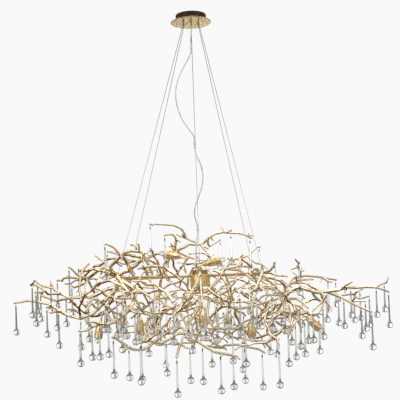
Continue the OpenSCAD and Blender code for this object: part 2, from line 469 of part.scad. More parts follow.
DROPS_RIGHT = [
    [RIGHT_STAR, 2, 6, drop_long], [RIGHT_UNDER, 11, 1, drop_mid], [RIGHT_UNDER, 10, 3, drop_short],
    [RIGHT_UNDER, 12, 2, drop_mid], [RIGHT_UNDER, 0, 4, drop_short], [RIGHT_UNDER, 6, 1, drop_long],
    [RIGHT_UNDER, 2, 3, drop_long], [RIGHT_UNDER, 3, 3, drop_long], [RIGHT_UNDER, 1, 7, drop_mid],
    [RIGHT_MAIN, 9, 4, drop_short], [RIGHT_UNDER, 2, 7, drop_long], [RIGHT_MAIN, 7, 3, drop_mid],
    [RIGHT_MAIN, 0, 9, drop_short], [RIGHT_HIGH, 0, 11, drop_long], [RIGHT_MAIN, 3, 3, drop_short],
    [RIGHT_MAIN, 4, 2, drop_short], [RIGHT_MAIN, 0, 14, drop_short], [RIGHT_MAIN, 3, 7, drop_short],
    [RIGHT_MAIN, 3, 9, drop_mid], [RIGHT_MAIN, 4, 7, drop_short], [RIGHT_MAIN, 5, 3, drop_short],
    [RIGHT_MAIN, 0, 19, drop_short], [RIGHT_MAIN, 1, 3, drop_short], [RIGHT_FORK, 5, 5, drop_mid],
    [RIGHT_FORK, 4, 8, drop_mid], [RIGHT_STAR, 0, 14, drop_mid], [RIGHT_FORK, 2, 6, drop_short],
    [RIGHT_HIGH, 2, 4, drop_mid], [RIGHT_MAIN, 6, 5, drop_mid], [RIGHT_HIGH, 0, 13, drop_short]];
function tips(b, lengths) = [for (k = [1:len(b) - 1]) [b, k, arm_joints, lengths[k % len(lengths)]]];
STOCK = [drop_short, drop_long, drop_mid];
DROPS_SPRIGS = concat(tips(FRONT_LEFT, STOCK), tips(FRONT_MIDDLE, STOCK), tips(FRONT_RIGHT, STOCK),
    tips(BACK_LEFT, STOCK), tips(BACK_MIDDLE, STOCK), tips(BACK_RIGHT, STOCK));
END_DROPS = [
    [LEFT_LOW, 0, 18, drop_mid], [LEFT_UNDER, 0, 10, drop_mid], [LOW_ARC, 0, 18, drop_long],
    [BOTTOM, 6, 8, drop_long], [RIGHT_MAIN, 4, 10, drop_long], [RIGHT_MAIN, 0, 23, drop_long]];
FIXED_DROPS = concat(DROPS_LEFT, DROPS_MIDDLE, DROPS_RIGHT, DROPS_SPRIGS);

// A drop hangs from the bottom of its hook's ring: the hook's shank is pressed up into the bough
eye_bore_d = 2.8;
eye_t = 2.4;
eye_d = 6.4;
shank_show = 1.5;
knuckle_d = 11;
tip_inset = 4;
eye_drop = eye_bore_d / 2 - hook_wire_d / 2 - 0.4;
function hook_top(row) = let (p = shoot_path(row[0], row[1]), n = len(p) - 1) row[2] < n ? on_rod(p, row[2])
    : p[n] + tip_inset * unit(p[n - 1] - p[n]);
function hook_reach(row) = thickness(row[0], row[1], row[2]) * 0.65 + shank_show;
function ring_bottom(row) = hook_top(row) - [0, 0, hook_reach(row) + 2 * hook_r];

module hook(row) {
    translate(hook_top(row)) {
        translate([0, 0, -hook_reach(row)]) cylinder(h = hook_reach(row), d = hook_wire_d, $fn = 16);
        translate([0, 0, -hook_reach(row) - hook_r]) rotate([0, 90, 0]) rotate_extrude($fn = 32)
            translate([hook_r, 0]) circle(d = hook_wire_d, $fn = 16);
    }
}

// Glass drop about its hole: a drilled eye, a stem that swells downwards, a knuckle and a solid ball
module drop_at(row) {
    l = row[3];
    color(glass) translate(ring_bottom(row) - [0, 0, eye_drop]) {
        difference() {
            rotate([90, 0, 0]) cylinder(h = eye_t, d = eye_d, center = true);
            rotate([90, 0, 0]) cylinder(h = eye_t + 1, d = eye_bore_d, center = true);
        }
        translate([0, 0, -l]) sphere(d = ball_d);
        translate([0, 0, -l + ball_d / 2 + knuckle_d * 0.3]) sphere(d = knuckle_d);
        translate([0, 0, -l + ball_d / 2])
            cylinder(h = l - ball_d / 2 - eye_d / 2 + 0.4, d1 = stem_d, d2 = 4.6);
    }
}

module drop_hooks() { color(steel) for (row = concat(FIXED_DROPS, END_DROPS)) hook(row); }
module drops_of(l) { for (row = FIXED_DROPS) if (row[3] == l) drop_at(row); }
module drops_short() { drops_of(drop_short); }
module drops_mid() { drops_of(drop_mid); }
module drops_long() { drops_of(drop_long); }
module end_drop(i) { drop_at(END_DROPS[i - 1]); }

// Ceiling bracket: a turned dish with a rim, cut to a round middle and three arms
ear_r = drum_d / 2 - drum_wall - gap;
module ceiling_bracket() {
    color(steel) difference() {
        intersection() {
            rotate_extrude($fn = 96)
                polygon([[0, 0], [ear_r, 0], [ear_r, -ear_h], [ear_r - bracket_t, -ear_h],
                [ear_r - bracket_t, -bracket_t], [0, -bracket_t]]);
            translate([0, 0, -ear_h - 1]) linear_extrude(ear_h + 2) {
                circle(d = fix_pcd * 0.7);
                for (a = SCREW_ANGLES) rotate(a) translate([0, -bracket_w / 2])
                    square([ear_r + 1, bracket_w]);
            }
        }
        translate([0, 0, -bracket_t - 1]) cylinder(h = bracket_t + 2, d = entry_d);
        for (a = SCREW_ANGLES) rotate([0, 0, a]) {
            translate([fix_pcd / 2, 0, -bracket_t - 1]) cylinder(h = bracket_t + 2, d = fix_d);
            translate([ear_r - bracket_t - 2, 0, -screw_drop]) rotate([0, 90, 0])
                cylinder(h = bracket_t + 4, d = screw_d + 2 * fit, $fn = 32);
        }
    }
}

// Drum, open to the ceiling, with the holes of the wire grips and the cord gland in its floor
screw_drop = 9;
grip_shank_d = 6;
gland_shank_d = 12;
module floor_holes(depth) {
    for (s = concat([[0, 0]], WIRE_SPOTS)) translate([s[0] * exit_x, s[1] * exit_y, 0])
        cylinder(h = depth, d = grip_shank_d + 2 * fit, center = true, $fn = 32);
    translate([0, cord_y, 0]) cylinder(h = depth, d = gland_shank_d + 2 * fit, center = true);
}
module canopy_drum() {
    color(bronze) difference() {
        translate([0, 0, drum_z]) cylinder(h = drum_h, d = drum_d, $fn = 96);
        translate([0, 0, drum_z + drum_wall]) cylinder(h = drum_h, d = drum_d - 2 * drum_wall, $fn = 96);
        translate([0, 0, drum_z]) floor_holes(10);
        for (a = SCREW_ANGLES) rotate([0, 0, a]) translate([drum_d / 2, 0, -screw_drop]) rotate([0, 90, 0])
            cylinder(h = 10, d = screw_d + 2 * fit, center = true, $fn = 32);
    }
}

// Hammered plate with a softly rolled edge
module canopy_plate() {
    r = plate_d / 2;
    color(brass) translate([0, 0, plate_z]) difference() {
        rotate_extrude($fn = 96) polygon([[0, 0], [r - 7, 0], [r - 2, 0.4], [r, plate_t / 2],
            [r - 1, plate_t - 0.3], [r - 3, plate_t], [0, plate_t]]);
        floor_holes(20);
    }
}

module canopy_screws() {
    color(steel) for (a = SCREW_ANGLES) rotate([0, 0, a]) translate([ear_r - bracket_t - 1, 0, -screw_drop])
        rotate([0, 90, 0]) {
            cylinder(h = drum_d / 2 - ear_r + bracket_t + 1 + fit, d = screw_d, $fn = 32);
            translate([0, 0, drum_d / 2 - ear_r + bracket_t + 1 + fit])
                cylinder(h = 2.6, d1 = 7.6, d2 = 5, $fn = 32);
        }
}

// Three-way terminal block on the drum floor
module terminal_block() {
    color(ceramic) translate([-20, 42, drum_z + drum_wall]) difference() {
        cube([40, 16, 14]);
        for (x = [8, 20, 32]) {
            translate([x, -1, 6]) rotate([-90, 0, 0]) cylinder(h = 18, d = 3.4, $fn = 24);
            translate([x, 8, 10]) cylinder(h = 6, d = 4, $fn = 24);
        }
    }
}

// Cord glands: nut inside, shank through the sheet, tapered nose outside
gland_nose_h = 9;
module gland(sheet) {
    translate([0, 0, sheet]) cylinder(h = 6, d = 16, $fn = 6);
    translate([0, 0, -0.5]) cylinder(h = sheet + 1, d = gland_shank_d);
    translate([0, 0, -gland_nose_h]) cylinder(h = gland_nose_h, d1 = cord_d + 3, d2 = 15);
}
module cord_glands() {
    color(bronze) {
        translate([0, cord_y, plate_z]) gland(plate_t + drum_wall);
        translate([cord_hub_x, cord_hub_y, hub_z + knob_z]) mirror([0, 0, 1]) gland(can_wall);
    }
}

// Wire grips: head and shank through the canopy floor, ball nose below
grip_head_d = 10;
grip_nose_d = 9;
module wire_grips() {
    color(brass) for (s = concat([[0, 0]], WIRE_SPOTS)) translate([s[0] * exit_x, s[1] * exit_y, 0]) {
        translate([0, 0, drum_z + drum_wall]) cylinder(h = 5, d = grip_head_d, $fn = 32);
        translate([0, 0, plate_z - 3]) cylinder(h = plate_t + drum_wall + 4, d = grip_shank_d, $fn = 32);
        translate([0, 0, plate_z - grip_nose_d / 2]) sphere(d = grip_nose_d, $fn = 32);
    }
}

// Ends of the four slanting wires
function wire_top(s) = [s[0] * exit_x, s[1] * exit_y, plate_z - grip_nose_d / 2];
function bar_x(side) = side < 0 ? -bar_left_x : bar_right_x;
function anchor_at(s) = [bar_x(s[0]), s[1] * anchor_y, hub_z + bar_z + bar / 2];
anchor_h = 12;
anchor_d = 10;
module suspension_wires() {
    color(steel) for (s = WIRE_SPOTS)
        rod_between(wire_top(s), anchor_at(s) + [0, 0, anchor_h], wire_d, $fn = 16);
}
module wire_anchors() {
    color(brass) for (s = WIRE_SPOTS) translate(anchor_at(s)) {
        cylinder(h = anchor_h, d1 = anchor_d + 2, d2 = anchor_d - 3, $fn = 32);
        translate([0, 0, anchor_h]) sphere(d = anchor_d - 1, $fn = 32);
    }
}

// Centre wire, from the canopy to the hub knob
knob_h = 26;
knob_d = 24;
lid_z = can_top;
knob_z = lid_z + lid_h;
module centre_wire() {
    color(steel) translate([0, 0, hub_z + knob_z + knob_h - 8])
        cylinder(h = plate_z - grip_nose_d / 2 - (hub_z + knob_z + knob_h - 8), d = wire_d, $fn = 16);
}

module power_cord() {
    color([0.85, 0.86, 0.85]) swept(smooth_path(CORD_POINTS, 2), cord_d, cord_d, 8);
}

// Clips that tie the cord to the centre wire
clip_h = 8;
module cord_clips() {
    color(ceramic) for (z = CLIP_Z) translate([0, 0, z - clip_h / 2]) difference() {
        linear_extrude(clip_h) hull() {
            translate([-5, 0]) circle(d = cord_d + 4);
            circle(d = wire_d + 4);
        }
        translate([-5, 0, -1]) cylinder(h = clip_h + 2, d = cord_d + 2 * gap);
        translate([0, 0, -1]) cylinder(h = clip_h + 2, d = wire_d + 2 * fit, $fn = 32);
    }
}

// Hub: open can with a lid, held together by a threaded tube and the knob on top
can_z = can_top - can_h;
module hub_can() {
    color(brass) translate([0, 0, hub_z + can_z]) difference() {
        rotate_extrude($fn = 96) polygon([[0, 0], [can_d / 2 - 4, 0], [can_d / 2, 5], [can_d / 2, can_h],
            [can_d / 2 - can_wall, can_h], [can_d / 2 - can_wall, 6], [can_d / 2 - 5, can_wall], [0,
                can_wall]]);
        cylinder(h = 3 * can_wall, d = rod_d + 2 * fit, center = true);
    }
}
module hub_lid() {
    skirt = can_d / 2 - can_wall - gap;
    color(dark_brass) translate([0, 0, hub_z + lid_z]) difference() {
        rotate_extrude($fn = 96) polygon([[0, lid_h - can_wall], [lid_d / 2 - 4.5, lid_h - can_wall],
            [lid_d / 2 - can_wall, lid_h - 4], [lid_d / 2 - can_wall, 0], [skirt - can_wall, 0],
            [skirt - can_wall, -3], [skirt, -3], [skirt, 0], [can_d / 2, 0], [can_d / 2, can_wall],
            [lid_d / 2, can_wall], [lid_d / 2, lid_h - 3], [lid_d / 2 - 3, lid_h], [0, lid_h]]);
        cylinder(h = 100, d = rod_d + 2 * fit, center = true);
        translate([cord_hub_x, cord_hub_y, 0]) cylinder(h = 100, d = gland_shank_d + 2 * fit, center = true);
    }
}
module hub_knob() {
    color(brass) translate([0, 0, hub_z + knob_z]) difference() {
        rotate_extrude() polygon([[0, 0], [9, 0], [knob_d / 2, 5], [knob_d / 2, 11], [8, 15], [5, 18],
            [5, 23], [4, knob_h], [0, knob_h]]);
        translate([0, 0, -1]) cylinder(h = 11, d = rod_d + 2 * fit);
    }
}

// Threaded tube with the nut that carries the can from below
module hub_rod() {
    nut_h = 8;
    color(steel) translate([0, 0, hub_z + can_z]) {
        translate([0, 0, -nut_h]) cylinder(h = nut_h, d = 22, $fn = 6);
        cylinder(h = knob_z - can_z + 9, d = rod_d);
    }
}
module hub_terminal() {
    color(ceramic) translate([12, -10, hub_z + can_z + can_wall]) difference() {
        cube([16, 34, 14]);
        for (y = [6, 17, 28]) translate([8, y, 8]) cylinder(h = 7, d = 4, $fn = 24);
    }
}

// Frame: a beam each side of the hub, a spoke to the front and back, and the two cross bars
bar_low = hub_z + bar_z - bar / 2;
spoke_l = 290;
module beam(from, to) {
    color(brass) difference() {
        translate([from, -bar / 2, bar_low]) cube([to - from, bar, bar]);
        translate([0, 0, bar_low - 1]) cylinder(h = bar + 2, d = can_d + 2 * fit, $fn = 96);
    }
}
module cross_bar(x) {
    color(brass) translate([x - bar / 2, -cross_l / 2, bar_low]) cube([bar, cross_l, bar]);
}
// Slanting braces, from the hub to near the four ends of the cross bars
brace_end_y = 225;
brace_d = 8;
function brace_start(s) = let (a = atan2(s[1] * brace_end_y, bar_x(s[0]))) [cos(a), sin(a), 0] * can_d / 2;
module frame_braces() {
    color(brass) for (s = WIRE_SPOTS)
        rod_between(brace_start(s) + [0, 0, bar_low + bar / 2],
            [bar_x(s[0]) - s[0] * bar / 2, s[1] * brace_end_y, bar_low + bar / 2], brace_d);
}
module beam_left() { beam(-bar_left_x + bar / 2, -can_d / 4); }
module beam_right() { beam(can_d / 4, bar_right_x - bar / 2); }
module spoke_front() { rotate([0, 0, -90]) beam(can_d / 4, spoke_l); }
module spoke_back() { rotate([0, 0, 90]) beam(can_d / 4, spoke_l); }
module cross_bar_left() { cross_bar(-bar_left_x); }
module cross_bar_right() { cross_bar(bar_right_x); }

// Lamps: [neck as drawn, lean of the mouth from straight down towards +X, root on the frame]
LAMPS = [
    [[-490, -150, -183], -12, [-372, -150]],
    [[-301, -240, -172], 0, [-372, -225]],
    [[6, -250, -140], 0, [0, -200]],
    [[15, -70, 68], 103, [0, -66]],
    [[507, -150, -203], 48, [281, -270]],
    [[243, -270, -196], 0, [281, -235]],
    [[141, 250, -165], -12, [0, 200]],
    [[-83, -60, 108], -103, [-120, 0]],
    [[-380, 280, -130], -8, [-372, 250]],
    [[410, 260, -120], 10, [281, 240]]];
holder_start = sleeve_l - 4 - holder_l;
module at_lamp(row) {
    translate(placed(row[0])) rotate([0, -row[1], 0]) mirror([0, 0, 1]) children();
}
function lamp_axis(row) = [sin(row[1]), 0, -cos(row[1])];
module lamp_arm(row) {
    neck = placed(row[0]);
    above = neck - 26 * lamp_axis(row);
    root = [row[2][0], row[2][1], hub_z + bar_z + (row[0][2] > 0 ? bar / 2 : -bar / 2)];
    rod_between(root, above, arm_d);
    translate(above) sphere(d = arm_d * 1.3);
    rod_between(above, neck + (holder_start - 0.2) * lamp_axis(row), arm_d);
}
module lamp_arms() { color(brass) for (row = LAMPS) lamp_arm(row); }

// Bottle-shaped sleeve, along +Z from its neck
module sleeve() {
    r = sleeve_d / 2;
    neck_r = arm_d / 2 + fit;
    outer = [[neck_r + sleeve_wall, 0], [neck_r + 2.4, 8], [12, 17], [16, 27], [r - 1.5, 42], [r, sleeve_l]];
    inner = [[r - sleeve_wall, sleeve_l], [r - 1.5 - sleeve_wall, 42.4], [14.4, 28], [10.4, 18], [neck_r, 9],
        [neck_r, 0]];
    rotate_extrude($fn = 64) polygon(concat(outer, inner));
}
module lamp_sleeves() { color(brass) for (row = LAMPS) at_lamp(row) sleeve(); }
module lampholders() {
    color(ceramic) for (row = LAMPS) at_lamp(row) translate([0, 0, holder_start]) difference() {
        cylinder(h = holder_l, d = holder_d);
        translate([0, 0, 12]) cylinder(h = holder_l, d = 15);
    }
}
module bulbs() {
    color(glass) for (row = LAMPS) at_lamp(row) translate([0, 0, holder_start + 12.3]) {
        cylinder(h = holder_l, d = 14.6);
        translate([0, 0, holder_l + 3]) sphere(d = bulb_d);
    }
}

ceiling_bracket();
canopy_drum();
canopy_plate();
canopy_screws();
terminal_block();
cord_glands();
wire_grips();
suspension_wires();
centre_wire();
power_cord();
cord_clips();
wire_anchors();
hub_can();
hub_lid();
hub_knob();
hub_rod();
hub_terminal();
beam_left();
beam_right();
spoke_front();
spoke_back();
frame_braces();
cross_bar_left();
cross_bar_right();
lamp_arms();
lamp_sleeves();
lampholders();
bulbs();
bough_left_high();
bough_left_star();
bough_left_mid();
bough_left_low();
bough_left_under();
bough_low_left();
bough_low_arc();
bough_crown();
bough_centre_left();
bough_right_star();
bough_right_fork();
bough_right_high();
bough_right_main();
bough_right_under();
bough_bottom();
bough_bottom_right();
sprig_front_left();
sprig_front_middle();
sprig_front_right();
sprig_back_left();
sprig_back_middle();
sprig_back_right();
drop_hooks();
drops_short();
drops_mid();
drops_long();
end_drop(1);  // end_drop_1
end_drop(2);  // end_drop_2
end_drop(3);  // end_drop_3
end_drop(4);  // end_drop_4
end_drop(5);  // end_drop_5
end_drop(6);  // end_drop_6
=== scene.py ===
import math

import bpy
import numpy as np
from mathutils.bvhtree import BVHTree
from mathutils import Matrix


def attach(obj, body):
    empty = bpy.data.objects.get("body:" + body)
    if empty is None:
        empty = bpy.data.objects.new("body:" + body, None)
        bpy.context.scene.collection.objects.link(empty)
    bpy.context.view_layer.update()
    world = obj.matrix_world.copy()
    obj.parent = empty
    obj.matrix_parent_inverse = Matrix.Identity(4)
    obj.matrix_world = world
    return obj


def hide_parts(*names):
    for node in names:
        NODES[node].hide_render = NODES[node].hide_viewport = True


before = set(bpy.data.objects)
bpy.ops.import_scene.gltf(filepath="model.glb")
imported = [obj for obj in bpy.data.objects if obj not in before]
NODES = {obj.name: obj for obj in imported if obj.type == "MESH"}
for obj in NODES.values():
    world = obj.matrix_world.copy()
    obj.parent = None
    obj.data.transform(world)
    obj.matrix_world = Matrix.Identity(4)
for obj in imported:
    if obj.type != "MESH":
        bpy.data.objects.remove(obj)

MM = 0.001
TURN = 2 * math.pi
DEPTH = (0.0, 1.0, 0.0)
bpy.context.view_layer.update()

# Sizes of the solids that several pieces share
HUB_Z = -1.300
CORD_D = 6 * MM
BALL_R, KNUCKLE_R = 16.5 * MM, 5.5 * MM
DROP_LENGTHS = {"drops_short": 118 * MM, "drops_mid": 130 * MM, "drops_long": 148 * MM}
END_DROP_LENGTHS = {"end_drop_1": 130 * MM, "end_drop_2": 130 * MM, "end_drop_3": 148 * MM,
                    "end_drop_4": 148 * MM, "end_drop_5": 148 * MM, "end_drop_6": 148 * MM}
# Each lamp's neck in mm from the hub, as it looks from the eye, and its lean in degrees
LAMP_NECKS = [
    ((-490, -150, -183), -12), ((-301, -240, -172), 0), ((6, -250, -140), 0), ((15, -70, 68), 103),
    ((507, -150, -203), 48), ((243, -270, -196), 0), ((141, 250, -165), -12), ((-83, -60, 108), -103),
    ((-380, 280, -130), -8), ((410, 260, -120), 10)]


# Camera

CAMERA_AT = (0.0, -4.28, -1.40)
EYE_DISTANCE, EYE_ABOVE_HUB = 4280, -100  # the same place in mm from the hub
SENSOR_WIDTH = 36.0
CAMERA_ROLL = math.radians(-2.05)
CAMERA_PITCH = math.radians(1.8)
PHOTO_WIDTH = 400
FOCAL_PIXELS = 876
LEVEL_AT = (200.9, 299.3)


def make_camera():
    """Camera in front of the hub, a little below it, tipped up and turned about its own line of
    sight. The point at its own height in front of it is at LEVEL_AT in the image."""
    data = bpy.data.cameras.new("camera")
    data.sensor_width = SENSOR_WIDTH
    data.lens = FOCAL_PIXELS / PHOTO_WIDTH * data.sensor_width
    drop = FOCAL_PIXELS * math.tan(CAMERA_PITCH)
    data.shift_x = (PHOTO_WIDTH / 2 - LEVEL_AT[0] - drop * math.sin(CAMERA_ROLL)) / PHOTO_WIDTH
    data.shift_y = (LEVEL_AT[1] - drop * math.cos(CAMERA_ROLL) - PHOTO_WIDTH / 2) / PHOTO_WIDTH
    camera = bpy.data.objects.new("camera", data)
    camera.location = CAMERA_AT
    camera.rotation_mode = "XYZ"
    camera.rotation_euler = (math.pi / 2 + CAMERA_PITCH, 0.0, 0.0)
    bpy.context.scene.collection.objects.link(camera)
    camera.rotation_euler.rotate_axis("Z", CAMERA_ROLL)
    bpy.context.scene.camera = camera


# Curves and grids of points

def catmull(points, steps):
    """Points on a Catmull-Rom curve through the given ones: on each stretch, half of
    2b + (c - a)t + (2a - 5b + 4c - d)t^2 + (3b - a - 3c + d)t^3, with the end points doubled."""
    p = np.array(points, float)
    p = np.vstack([p[:1], p, p[-1:]])
    a, b, c, d = p[:-3, None], p[1:-2, None], p[2:-1, None], p[3:, None]
    t = (np.arange(steps) / steps)[None, :, None]
    body = 0.5 * (2 * b + (c - a) * t + (2 * a - 5 * b + 4 * c - d) * t ** 2
                  + (3 * b - a - 3 * c + d) * t ** 3)
    return np.vstack([body.reshape(-1, 3), p[-1:]])


def unit(v):
    """Each row divided by its own length."""
    return v / np.linalg.norm(v, axis=-1, keepdims=True)


def angles(count):
    """Evenly spaced angles round a full turn."""
    return np.linspace(0, TURN, count, endpoint=False)


def tube(path, radius, sides):
    """Rings round a path: centre + radius (side cos a + other sin a), where side is square to the
    path and to the depth, and other is square to both."""
    path = np.array(path, float)
    along = unit(np.gradient(path, axis=0))
    side = unit(np.cross(along, DEPTH))
    other = np.cross(along, side)
    a = angles(sides)[None, :, None]
    radius = np.broadcast_to(np.asarray(radius, float), len(path))[:, None, None]
    return path[:, None] + radius * (side[:, None] * np.cos(a) + other[:, None] * np.sin(a))


def turned(profile, sides, start=(0.0, 0.0, 0.0), axis=(0.0, 0.0, 1.0)):
    """Rings of a turned piece: for each profile point (r, z) the circle
    start + z axis + r (side cos a + other sin a)."""
    profile = np.array(profile, float)
    axis = unit(np.array(axis, float))
    side = unit(np.cross(axis, DEPTH if abs(axis[1]) < 0.9 else (1.0, 0.0, 0.0)))
    other = np.cross(axis, side)
    a = angles(sides)[:, None]
    circle = side * np.cos(a) + other * np.sin(a)
    r, z = profile[:, 0, None, None], profile[:, 1, None, None]
    return np.array(start, float) + z * axis + r * circle[None]


def ring_faces(rings, sides, closed=False):
    """Four-sided faces between neighbouring rings, wound so that they face outwards when the
    rings run along their axis."""
    i, j = np.meshgrid(np.arange(rings if closed else rings - 1), np.arange(sides), indexing="ij")
    n, k = (i + 1) % rings, (j + 1) % sides
    quads = np.stack([i * sides + j, i * sides + k, n * sides + k, n * sides + j], axis=-1)
    return quads.reshape(-1, 4)


def make_mesh(name, points, quads, ends=(), smooth=True):
    """Mesh object at the origin from an array of points and arrays of faces."""
    mesh = bpy.data.meshes.new(name)
    faces = [*np.asarray(quads).tolist(), *[list(map(int, e)) for e in ends]]
    mesh.from_pydata(np.asarray(points).reshape(-1, 3).tolist(), [], faces)
    mesh.validate()
    mesh.polygons.foreach_set("use_smooth", np.full(len(mesh.polygons), smooth))
    mesh.update()
    piece = bpy.data.objects.new(name, mesh)
    bpy.context.scene.collection.objects.link(piece)
    return piece


def many(rings, offsets=((0.0, 0.0, 0.0),), closed=False):
    """The same grid of rings at many places: points, faces and end faces."""
    count, sides = rings.shape[:2]
    points = (rings.reshape(1, -1, 3) + np.asarray(offsets)[:, None]).reshape(-1, 3)
    shift = (np.arange(len(offsets)) * count * sides)[:, None, None]
    quads = (ring_faces(count, sides, closed)[None] + shift).reshape(-1, 4)
    first, last = np.arange(sides)[::-1], np.arange((count - 1) * sides, count * sides)
    ends = [] if closed else [end + s for s in shift.reshape(-1) for end in (first, last)]
    return points, quads, ends


def joined(parts):
    """Several sets of points, faces and end faces as one set, with the faces renumbered."""
    points, quads, ends, start = [], [], [], 0
    for more, faces, caps in parts:
        points.append(more)
        quads.append(faces + start)
        ends += [cap + start for cap in caps]
        start += len(more)
    return np.vstack(points), np.vstack(quads), ends


def set_value(piece, name, value):
    """A number from 0 to 1 at each point, for the piece's finish to read."""
    attribute = piece.data.attributes.new(name, "FLOAT", "POINT")
    attribute.data.foreach_set("value", np.clip(value, 0, 1).astype(np.float32))


def fitted(piece, finish, body, slot, *nodes):
    """The piece gets its finish, rides on its body and stands for its nodes; the slot is not used."""
    piece.data.materials.append(finish)
    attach(piece, body)
    if nodes:
        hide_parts(*nodes)


# Reading the solids

MERGE = 1e-6


def arrays_of(mesh, corners_each):
    """A mesh's points, and its faces as rows of point numbers."""
    points = np.zeros(len(mesh.vertices) * 3)
    mesh.vertices.foreach_get("co", points)
    corner = np.zeros(len(mesh.loops), np.int64)
    mesh.loops.foreach_get("vertex_index", corner)
    return points.reshape(-1, 3), corner.reshape(-1, corners_each)


def corners(node):
    """Points of a CAD node, with the doubled ones merged, and its triangles."""
    points, faces = arrays_of(NODES[node].data, 3)
    places, index = np.unique(np.round(points / MERGE).astype(np.int64), axis=0, return_inverse=True)
    return places * MERGE, index.reshape(-1)[faces]


def separate_boxes(node):
    """Lowest and highest corners of each separate solid of a node: every point takes the least
    number among its neighbours until nothing changes."""
    points, faces = corners(node)
    label = np.arange(len(points))
    a, b = faces[:, [0, 1, 2]].ravel(), faces[:, [1, 2, 0]].ravel()
    while True:
        least = label.copy()
        np.minimum.at(least, a, label[b])
        np.minimum.at(least, b, label[a])
        least = least[least]
        if (least == label).all():
            break
        label = least
    kinds, part = np.unique(label, return_inverse=True)
    low = np.full((len(kinds), 3), np.inf)
    high = -low
    np.minimum.at(low, part, points)
    np.maximum.at(high, part, points)
    return low, high


# Height fields

MIXERS = (73856093, 19349663, 83492791, 2654435761)


def grain(i, j, k, seed):
    """Random number from -1 to 1 for each whole-number place: its numbers times large primes,
    mixed bit by bit."""
    mixed = (i * MIXERS[0]) ^ (j * MIXERS[1]) ^ (k * MIXERS[2]) ^ (seed * MIXERS[3])
    mixed = ((mixed ^ (mixed >> 13)) * 1274126177) & 0xFFFFFFFF
    return ((mixed >> 8) & 0xFFFF) / 32767.5 - 1


def lumps(points, size, seed):
    """Smooth random height from -1 to 1: random numbers on the corners of cells of the given
    size, blended by 3t^2 - 2t^3 of the place within the cell."""
    q = points / size
    cell = np.floor(q).astype(np.int64)
    f = q - cell
    f = f * f * (3 - 2 * f)
    height = np.zeros(len(points))
    for x in (0, 1):
        for y in (0, 1):
            for z in (0, 1):
                weight = np.abs(1 - x - f[:, 0]) * np.abs(1 - y - f[:, 1]) * np.abs(1 - z - f[:, 2])
                height += weight * grain(cell[:, 0] + x, cell[:, 1] + y, cell[:, 2] + z, seed)
    return height


def dents(points, size, seed):
    """Distance to the nearest of the random points that each cell holds, over the cell size."""
    q = points / size
    cell = np.floor(q).astype(np.int64)
    nearest = np.full(len(points), 9.0)
    for x in (-1, 0, 1):
        for y in (-1, 0, 1):
            for z in (-1, 0, 1):
                c = cell + [x, y, z]
                spot = c + 0.5 + 0.4 * np.stack([grain(c[:, 0], c[:, 1], c[:, 2], seed + s)
                                                 for s in (1, 2, 3)], axis=1)
                nearest = np.minimum(nearest, np.linalg.norm(q - spot, axis=1))
    return nearest


# Shader maths

class Value:
    """A socket's value. Sums and products of it add Math nodes."""

    def __init__(self, finish, socket):
        self.finish = finish
        self.socket = socket

    def _with(self, operation, other):
        return self.finish.node("ShaderNodeMath", {"operation": operation}, {0: self, 1: other})

    def __add__(self, other):
        return self._with("ADD", other)

    def __sub__(self, other):
        return self._with("SUBTRACT", other)

    def __mul__(self, other):
        return self._with("MULTIPLY", other)



class Finish:
    """A material, or the surround of the scene, built from nodes."""

    def __init__(self, name, owner=None, place="Object"):
        self.owner = owner or bpy.data.materials.new(name)
        self.owner.use_nodes = True
        self.tree = self.owner.node_tree
        self.tree.nodes.clear()
        self.place = self.node("ShaderNodeTexCoord", out=place)

    def node(self, kind, settings=None, inputs=None, out=0):
        """Adds a node: settings first, a ramp's stops among them, then its sockets."""
        node = self.tree.nodes.new(kind)
        for key, value in (settings or {}).items():
            if key == "stops":
                ramp = node.color_ramp
                while len(ramp.elements) > 1:
                    ramp.elements.remove(ramp.elements[-1])
                for number, (where, color) in enumerate(value):
                    stop = ramp.elements[0] if number == 0 else ramp.elements.new(where)
                    stop.position = where
                    stop.color = (*color, 1.0)
            else:
                setattr(node, key, value)
        for key, value in (inputs or {}).items():
            if isinstance(value, Value):
                self.tree.links.new(value.socket, node.inputs[key])
            else:
                node.inputs[key].default_value = value
        return Value(self, node.outputs[out]) if node.outputs else node

    def noise(self, scale, detail=3.0, stretch=(1.0, 1.0, 1.0), rough=0.55):
        place = self.place
        if stretch != (1.0, 1.0, 1.0):
            place = self.node("ShaderNodeMapping", None, {"Vector": place, "Scale": stretch})
        return self.node("ShaderNodeTexNoise", None,
                         {"Vector": place, "Scale": scale, "Detail": detail, "Roughness": rough})

    def ramp(self, value, *stops):
        return self.node("ShaderNodeValToRGB", {"stops": stops}, {"Fac": value})

    def limit(self, value, low, high, to_low=0.0, to_high=1.0):
        return self.node("ShaderNodeMapRange", {"clamp": True},
                         {"Value": value, "From Min": low, "From Max": high,
                          "To Min": to_low, "To Max": to_high})

    def bump(self, height, depth, strength=1.0):
        return self.node("ShaderNodeBump", None,
                         {"Height": height, "Distance": depth, "Strength": strength})

    def attribute(self, name):
        return self.node("ShaderNodeAttribute", {"attribute_name": name}, None, "Fac")

    def along(self, axis):
        return self.node("ShaderNodeSeparateXYZ", None, {"Vector": self.place}, axis)

    def ray(self, kind):
        return self.node("ShaderNodeLightPath", None, None, f"Is {kind} Ray")

    def glow(self, color):
        return self.node("ShaderNodeEmission", None, {"Color": (*color, 1), "Strength": 1.0})

    def mixed(self, share, first, second):
        return self.node("ShaderNodeMixShader", None, {0: share, 1: first, 2: second})

    def surface(self, **inputs):
        """The principled shader, with its sockets by their names, _ for a space."""
        named = {key.replace("_", " "): value for key, value in inputs.items()}
        shader = self.node("ShaderNodeBsdfPrincipled", None, named)
        self.node("ShaderNodeOutputMaterial", None, {"Surface": shader})
        return self.owner


# Finishes

